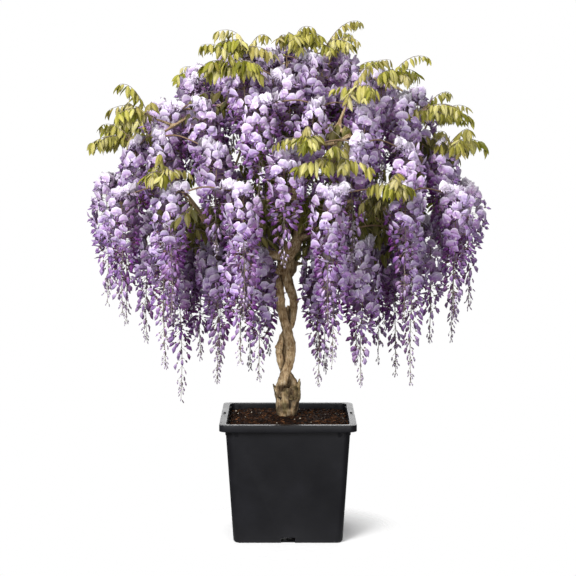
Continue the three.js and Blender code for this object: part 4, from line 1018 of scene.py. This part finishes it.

# ---- Leafy shoots ----
# Young spring growth between the racemes: short shoots with a few pinnate leaves, each a thin rib with pairs of
# soft leaflets that hang from it like a fringe. They are yellow green and bronze where they have just opened.
# The leaves that grow from the twigs inside the crown get painted shade.

LEAFLET = (34, 6.4)  # length and half width
LEAFLET_OUTLINE = ((0.2, 0.8), (0.46, 1.0), (0.78, 0.58))  # shares of its length, and of its half width there
LEAFLET_SPACING = 8.8  # along the rib, in millimetres
BARE_RIB, RIB_END = 0.14, 0.985  # the share of a rib below its first pair, and where its last leaflet hangs
RIB_GIRTH = (0.9, 0.4)
RIB_BEND = 0.9  # how far a rib may turn to one side from base to end, in radians
RIB_SHARES = (0, 0.15, 0.3, 0.45, 0.6, 0.75, 0.9, 1.0)
SHOOT_GIRTH = (2.2, 1.6)
SHOOT_STEPS = 4
SHOOT_TOP = (19, 33)  # the solid shoot's leaves leave it this far from its seat, in millimetres
SHOOT_SEED = 500
LEAF_END_SHARE = 0.84  # a solid leaf's end lies at least this share of the furthest one's way out
LEAF_TURN = 40  # degrees between two solid leaves, at least
LEAF_WITHIN = 0.88  # how much of a solid leaf's length its rib has
LEAF_LIFT = 0.42  # how much steeper a rib sets out than its solid leaf's end lies
YOUNG_LEAVES = (  # turn from the shoot's own way, share of a full leaf, and rise
    (35, 0.7, 0.6), (-38, 0.62, 0.35), (4, 0.7, 1.5), (95, 0.55, 1.1), (-85, 0.5, 0.7))
YOUNG_SWERVE = 14  # degrees that such a leaf may turn from there, at most
FULL_LEAF, SHORTEST_LEAF = 92, 38
CROWN_REACH = 425  # no rib ends further than this from the trunk, in millimetres
INNER_LEAVES = 260  # at most
INNER_CROWN = (590, 360, 360)  # height of its middle, how far out it reaches, and how far up, in millimetres
FORK_CLEARING = (-10, -50, 612, 120)  # no leaves grow here, where the limbs part: middle and reach
INNER_APART = 20
INNER_SPACING = 15
INNER_LENGTH = (55, 95)
INNER_TRIES = 8  # of these many ribs from a seat, the one that is furthest from the flowers is kept
INNER_TESTED = 5  # measured from this point of the rib
INNER_SIZE = 0.95
INNER_SEED, INNER_NUMBER = 77, 99
LEAFLET_DRAWS = {"tone": (0.0, 1.0), "roll": (-0.7, 0.7), "nod": (-0.5, 0.45), "swing": (-0.6, 0.6),
                 "vigour": (0.75, 1.15)}

leaf_skin, tree, shader, coords = start_material(
    "young_wisteria_leaf", roughness=0.55, specular_ior_level=0.2, subsurface_weight=0.2,
    subsurface_scale=0.004, subsurface_radius=(0.8, 1.0, 0.25))
# Thin, faintly glossy, with the light coming through: yellow green, paler along the midrib, bronze at the ends.
read = {name: add_node(tree, "ShaderNodeAttribute", attribute_name=name).outputs["Fac"]
        for name in ("tone", "rim", "young", "shade")}
green, bronze, dark = (add_node(tree, "ShaderNodeValToRGB", {"Fac": read["tone"]}, stops) for stops in (
    [(0.0, "#4C520A"), (0.35, "#77771A"), (0.7, "#98933F"), (1.0, "#AAA567")],
    [(0.0, "#83762E"), (0.5, "#A19656"), (1.0, "#B5AC7E")],
    [(0.0, "#25210F"), (0.5, "#3B3518"), (1.0, "#564E2A")]))
leaf_tint = add_node(tree, "ShaderNodeMix", {0: read["young"], 6: green, 7: bronze}, data_type="RGBA")
# Painted shade: leaves whose shade is near one, those inside the crown, take the deepest greens.
leaf_tint = add_node(tree, "ShaderNodeMix", {0: read["shade"], 6: leaf_tint, 7: dark}, data_type="RGBA")
midrib = add_node(tree, "ShaderNodeMapRange", {
    "Value": read["rim"], "From Min": 0.0, "From Max": 0.5, "To Min": 1.2, "To Max": 0.94})
veins = add_node(tree, "ShaderNodeTexNoise", {"Vector": coords, "Scale": 420.0, "Detail": 2.0})
leaf_colour = add_node(tree, "ShaderNodeHueSaturation", {"Value": midrib, "Color": leaf_tint})
quilted = add_node(tree, "ShaderNodeBump", {"Height": veins, "Strength": 0.3, "Distance": 0.0006})
set_inputs(tree, shader, {"Base Color": leaf_colour, "Normal": quilted})

# One drooping leaflet along X, a thin closed blade folded at its midrib.
leaf_length, leaf_half = LEAFLET
points, rims = [(0, 0, 0)], [0]
for share, girth in LEAFLET_OUTLINE:
    x, z = leaf_length * share * (1 - 0.12 * share), -0.36 * leaf_length * share * share
    for side, lift in ((-1, -0.3 * leaf_half * girth), (0, 0.35), (1, -0.3 * leaf_half * girth), (0, -0.2)):
        points.append((x, side * leaf_half * girth, z + lift))
        rims.append(abs(side))
points.append((0.9 * leaf_length, 0, -0.4 * leaf_length))
rims.append(0.6)
faces = [(0, 1 + k, 1 + (k + 1) % 4) for k in range(4)] + [
    (1 + 4 * r + k, 5 + 4 * r + k, 5 + 4 * r + (k + 1) % 4, 1 + 4 * r + (k + 1) % 4) for r in range(2)
    for k in range(4)] + [(13, 9 + (k + 1) % 4, 9 + k) for k in range(4)]
soft_leaflet = soft_source("soft_leaflet", points, faces, [1] * len(points), rims)

fronds, given, frond_inputs = start_growth("leaflets_on_ribs", {
    "Spacing": "Float", "Seed": "Int", "Leaflet": "Object", "Leaf": "Material", "Stalk": "Material"})
rib_skin, points, down, _, own = start_stalks(fronds, given)
course = add_node(fronds, "ShaderNodeSeparateXYZ", {0: points.outputs["Tangent"]})
faced = add_node(fronds, "ShaderNodeMath", {0: course.outputs["Y"], 1: course.outputs["X"]},
                 operation="ARCTAN2")
turned = add_node(fronds, "GeometryNodeStoreNamedAttribute", {
    "Geometry": points.outputs["Points"], "Name": "around", "Value": faced})
bare = add_node(fronds, "ShaderNodeMath", {0: down, 1: BARE_RIB}, operation="LESS_THAN")
leafed = add_node(fronds, "GeometryNodeDeleteGeometry", {"Geometry": turned, "Selection": bare})
facing, size = (add_node(fronds, "GeometryNodeInputNamedAttribute", {"Name": name})
                for name in ("around", "size"))
swell_line = add_node(fronds, "ShaderNodeFloatCurve", {"Value": down}, [(0, 0.72), (0.4, 1), (1, 0.78)])
swell = add_node(fronds, "ShaderNodeMath", {0: swell_line, 1: size}, operation="MULTIPLY")
hang_line = add_node(fronds, "ShaderNodeFloatCurve", {"Value": down}, [(0, 0.55), (0.5, 0.75), (1, 0.85)])
joined = add_node(fronds, "GeometryNodeJoinGeometry", {0: rib_skin})
source = add_node(fronds, "GeometryNodeObjectInfo", {"Object": given.outputs["Leaflet"]}).outputs["Geometry"]
for side, first_seed, hangs_from in ((1, 20, -1.0), (-1, 30, -1.0), (0, 40, RIB_END)):
    # Pairs all along the rib, and one leaflet at its end.
    spots, drawn = store_draws(fronds, leafed, own, LEAFLET_DRAWS, first_seed)
    splay = add_node(fronds, "ShaderNodeMapRange", {
        "Value": down, "To Min": side * 1.35, "To Max": side * 0.85})
    nod = add_node(fronds, "ShaderNodeMath", {0: hang_line, 1: drawn["nod"]}, operation="ADD")
    swing = facing
    for turn in (splay, drawn["swing"]):
        swing = add_node(fronds, "ShaderNodeMath", {0: swing, 1: turn}, operation="ADD")
    lean = add_node(fronds, "ShaderNodeCombineXYZ", {"X": drawn["roll"], "Y": nod, "Z": swing})
    picked = add_node(fronds, "ShaderNodeMath", {0: down, 1: hangs_from}, operation="GREATER_THAN")
    scale = add_node(fronds, "ShaderNodeMath", {0: swell, 1: drawn["vigour"]}, operation="MULTIPLY")
    hung = add_node(fronds, "GeometryNodeInstanceOnPoints", {
        "Points": spots, "Selection": picked, "Instance": source, "Rotation": lean, "Scale": scale})
    set_inputs(fronds, joined, {0: hung})
finish_growth(fronds, joined, given.outputs["Leaf"], given.outputs["Stalk"])


def rib(base, angle, length, rise, size, young, shade):
    """A leaf's rib, out and up from its base, then over and down, and the values that its leaflets read."""
    length = min(length, max(SHORTEST_LEAF, CROWN_REACH - math.hypot(*base[:2])))
    bend = RIB_BEND * math.sin(17 * angle)
    path = [base + length * np.array((t * math.cos(angle + bend * t), t * math.sin(angle + bend * t),
                                      rise * t - (0.42 + 0.35 * rise) * t * t)) for t in RIB_SHARES]
    return path, {"girth": MM * np.interp(RIB_SHARES, (0, 1), RIB_GIRTH), "down": RIB_SHARES, "size": size,
                  "young": young, "shade": shade}


def leaf_piece(name, grown, number, spacing=LEAFLET_SPACING):
    """Grows leaflets on the lines and finishes the piece."""
    piece = grow(line_object(name, grown), fronds, frond_inputs, {
        "Spacing": spacing * MM, "Seed": number, "Leaflet": soft_leaflet, "Leaf": leaf_skin,
        "Stalk": green_stalk})
    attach(piece, "root")
    return piece


SHOOTS = sorted(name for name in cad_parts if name.startswith("leafy_shoot"))
for number, shoot in enumerate(SHOOTS):
    draw = np.random.default_rng(SHOOT_SEED + number)
    corners, seat, wood_place = read_solid(shoot)
    far = np.linalg.norm(corners - seat, axis=1)
    top = corners[(far > SHOOT_TOP[0]) & (far < SHOOT_TOP[1])].mean(axis=0)
    spread = corners - top
    spread = spread[np.argsort(-np.hypot(spread[:, 0], spread[:, 1]))]
    ends = []
    for way in spread:
        angle = math.atan2(way[1], way[0])
        if math.hypot(way[0], way[1]) < LEAF_END_SHARE * math.hypot(*spread[0][:2]):
            break
        if all(abs((math.degrees(angle - other) + 180) % 360 - 180) > LEAF_TURN for _, other in ends):
            ends.append((way, angle))
    stem = smooth_path([wood_place, seat, 0.5 * (seat + top) + (0, 0, 1), top], SHOOT_STEPS)
    shares = np.linspace(0, 1, len(stem))
    grown = [(stem, {"girth": MM * np.interp(shares, (0, 1), SHOOT_GIRTH), "down": 0.1 * shares, "size": 1,
                     "young": 0, "shade": 0})]
    for way, angle in ends:
        length = math.hypot(way[0], way[1])
        rise = LEAF_LIFT + way[2] / length
        grown.append(rib(top, angle, LEAF_WITHIN * length, rise, 1.0, draw.uniform(0.0, 0.5), 0))
    middle = np.mean([way for way, _ in ends], axis=0)
    for turn, length, rise in YOUNG_LEAVES:
        swerve = draw.uniform(-YOUNG_SWERVE, YOUNG_SWERVE)
        angle = math.atan2(middle[1], middle[0]) + math.radians(turn + swerve)
        base = stem[-1 - int(draw.integers(0, 5))]
        grown.append(rib(
            base, angle, FULL_LEAF * length * draw.uniform(0.8, 1.15), rise * draw.uniform(0.6, 1.4),
            draw.uniform(0.7, 1.0), draw.uniform(0.1, 1.0), draw.uniform(0, 0.35)))
    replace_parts(leaf_piece(shoot.replace("leafy", "leafed"), grown, number), shoot)

# Leaves that grow straight from the twigs, all through the crown, with painted shade on them.
draw = np.random.default_rng(INNER_SEED)
seats, grown = [], []
flower_places = np.array(flower_places)
twig_places = [(1 - t) * wood_edges[:, 0] + t * wood_edges[:, 1] for t in (0, 0.25, 0.5, 0.75)]
for place in draw.permutation(np.concatenate([*twig_places, neck_places])):
    away, up = math.hypot(place[0] - TRUNK_X, place[1]), place[2] - INNER_CROWN[0]
    within = up > 0 and math.hypot(away / INNER_CROWN[1], up / INNER_CROWN[2]) < 1 and (
        math.dist(place, FORK_CLEARING[:3]) > FORK_CLEARING[3])
    if within and len(seats) < INNER_LEAVES and all(math.dist(place, other) > INNER_APART for other in seats):
        seats.append(place)
        ways = draw.uniform((-math.pi, 0), (math.pi, 0.9), (INNER_TRIES, 2))
        # A shade of 0.8 to 1 gives each inner leaf painted shade.
        ribs = [rib(place, angle, draw.uniform(*INNER_LENGTH), rise, INNER_SIZE, draw.uniform(0, 0.3),
                    draw.uniform(0.8, 1.0)) for angle, rise in ways]
        grown.append(max(ribs, key=lambda tried: np.linalg.norm(
            flower_places - tried[0][INNER_TESTED], axis=1).min()))
leaf_piece("inner_leaves", grown, INNER_NUMBER, INNER_SPACING)
bpy.data.objects.remove(soft_leaflet)
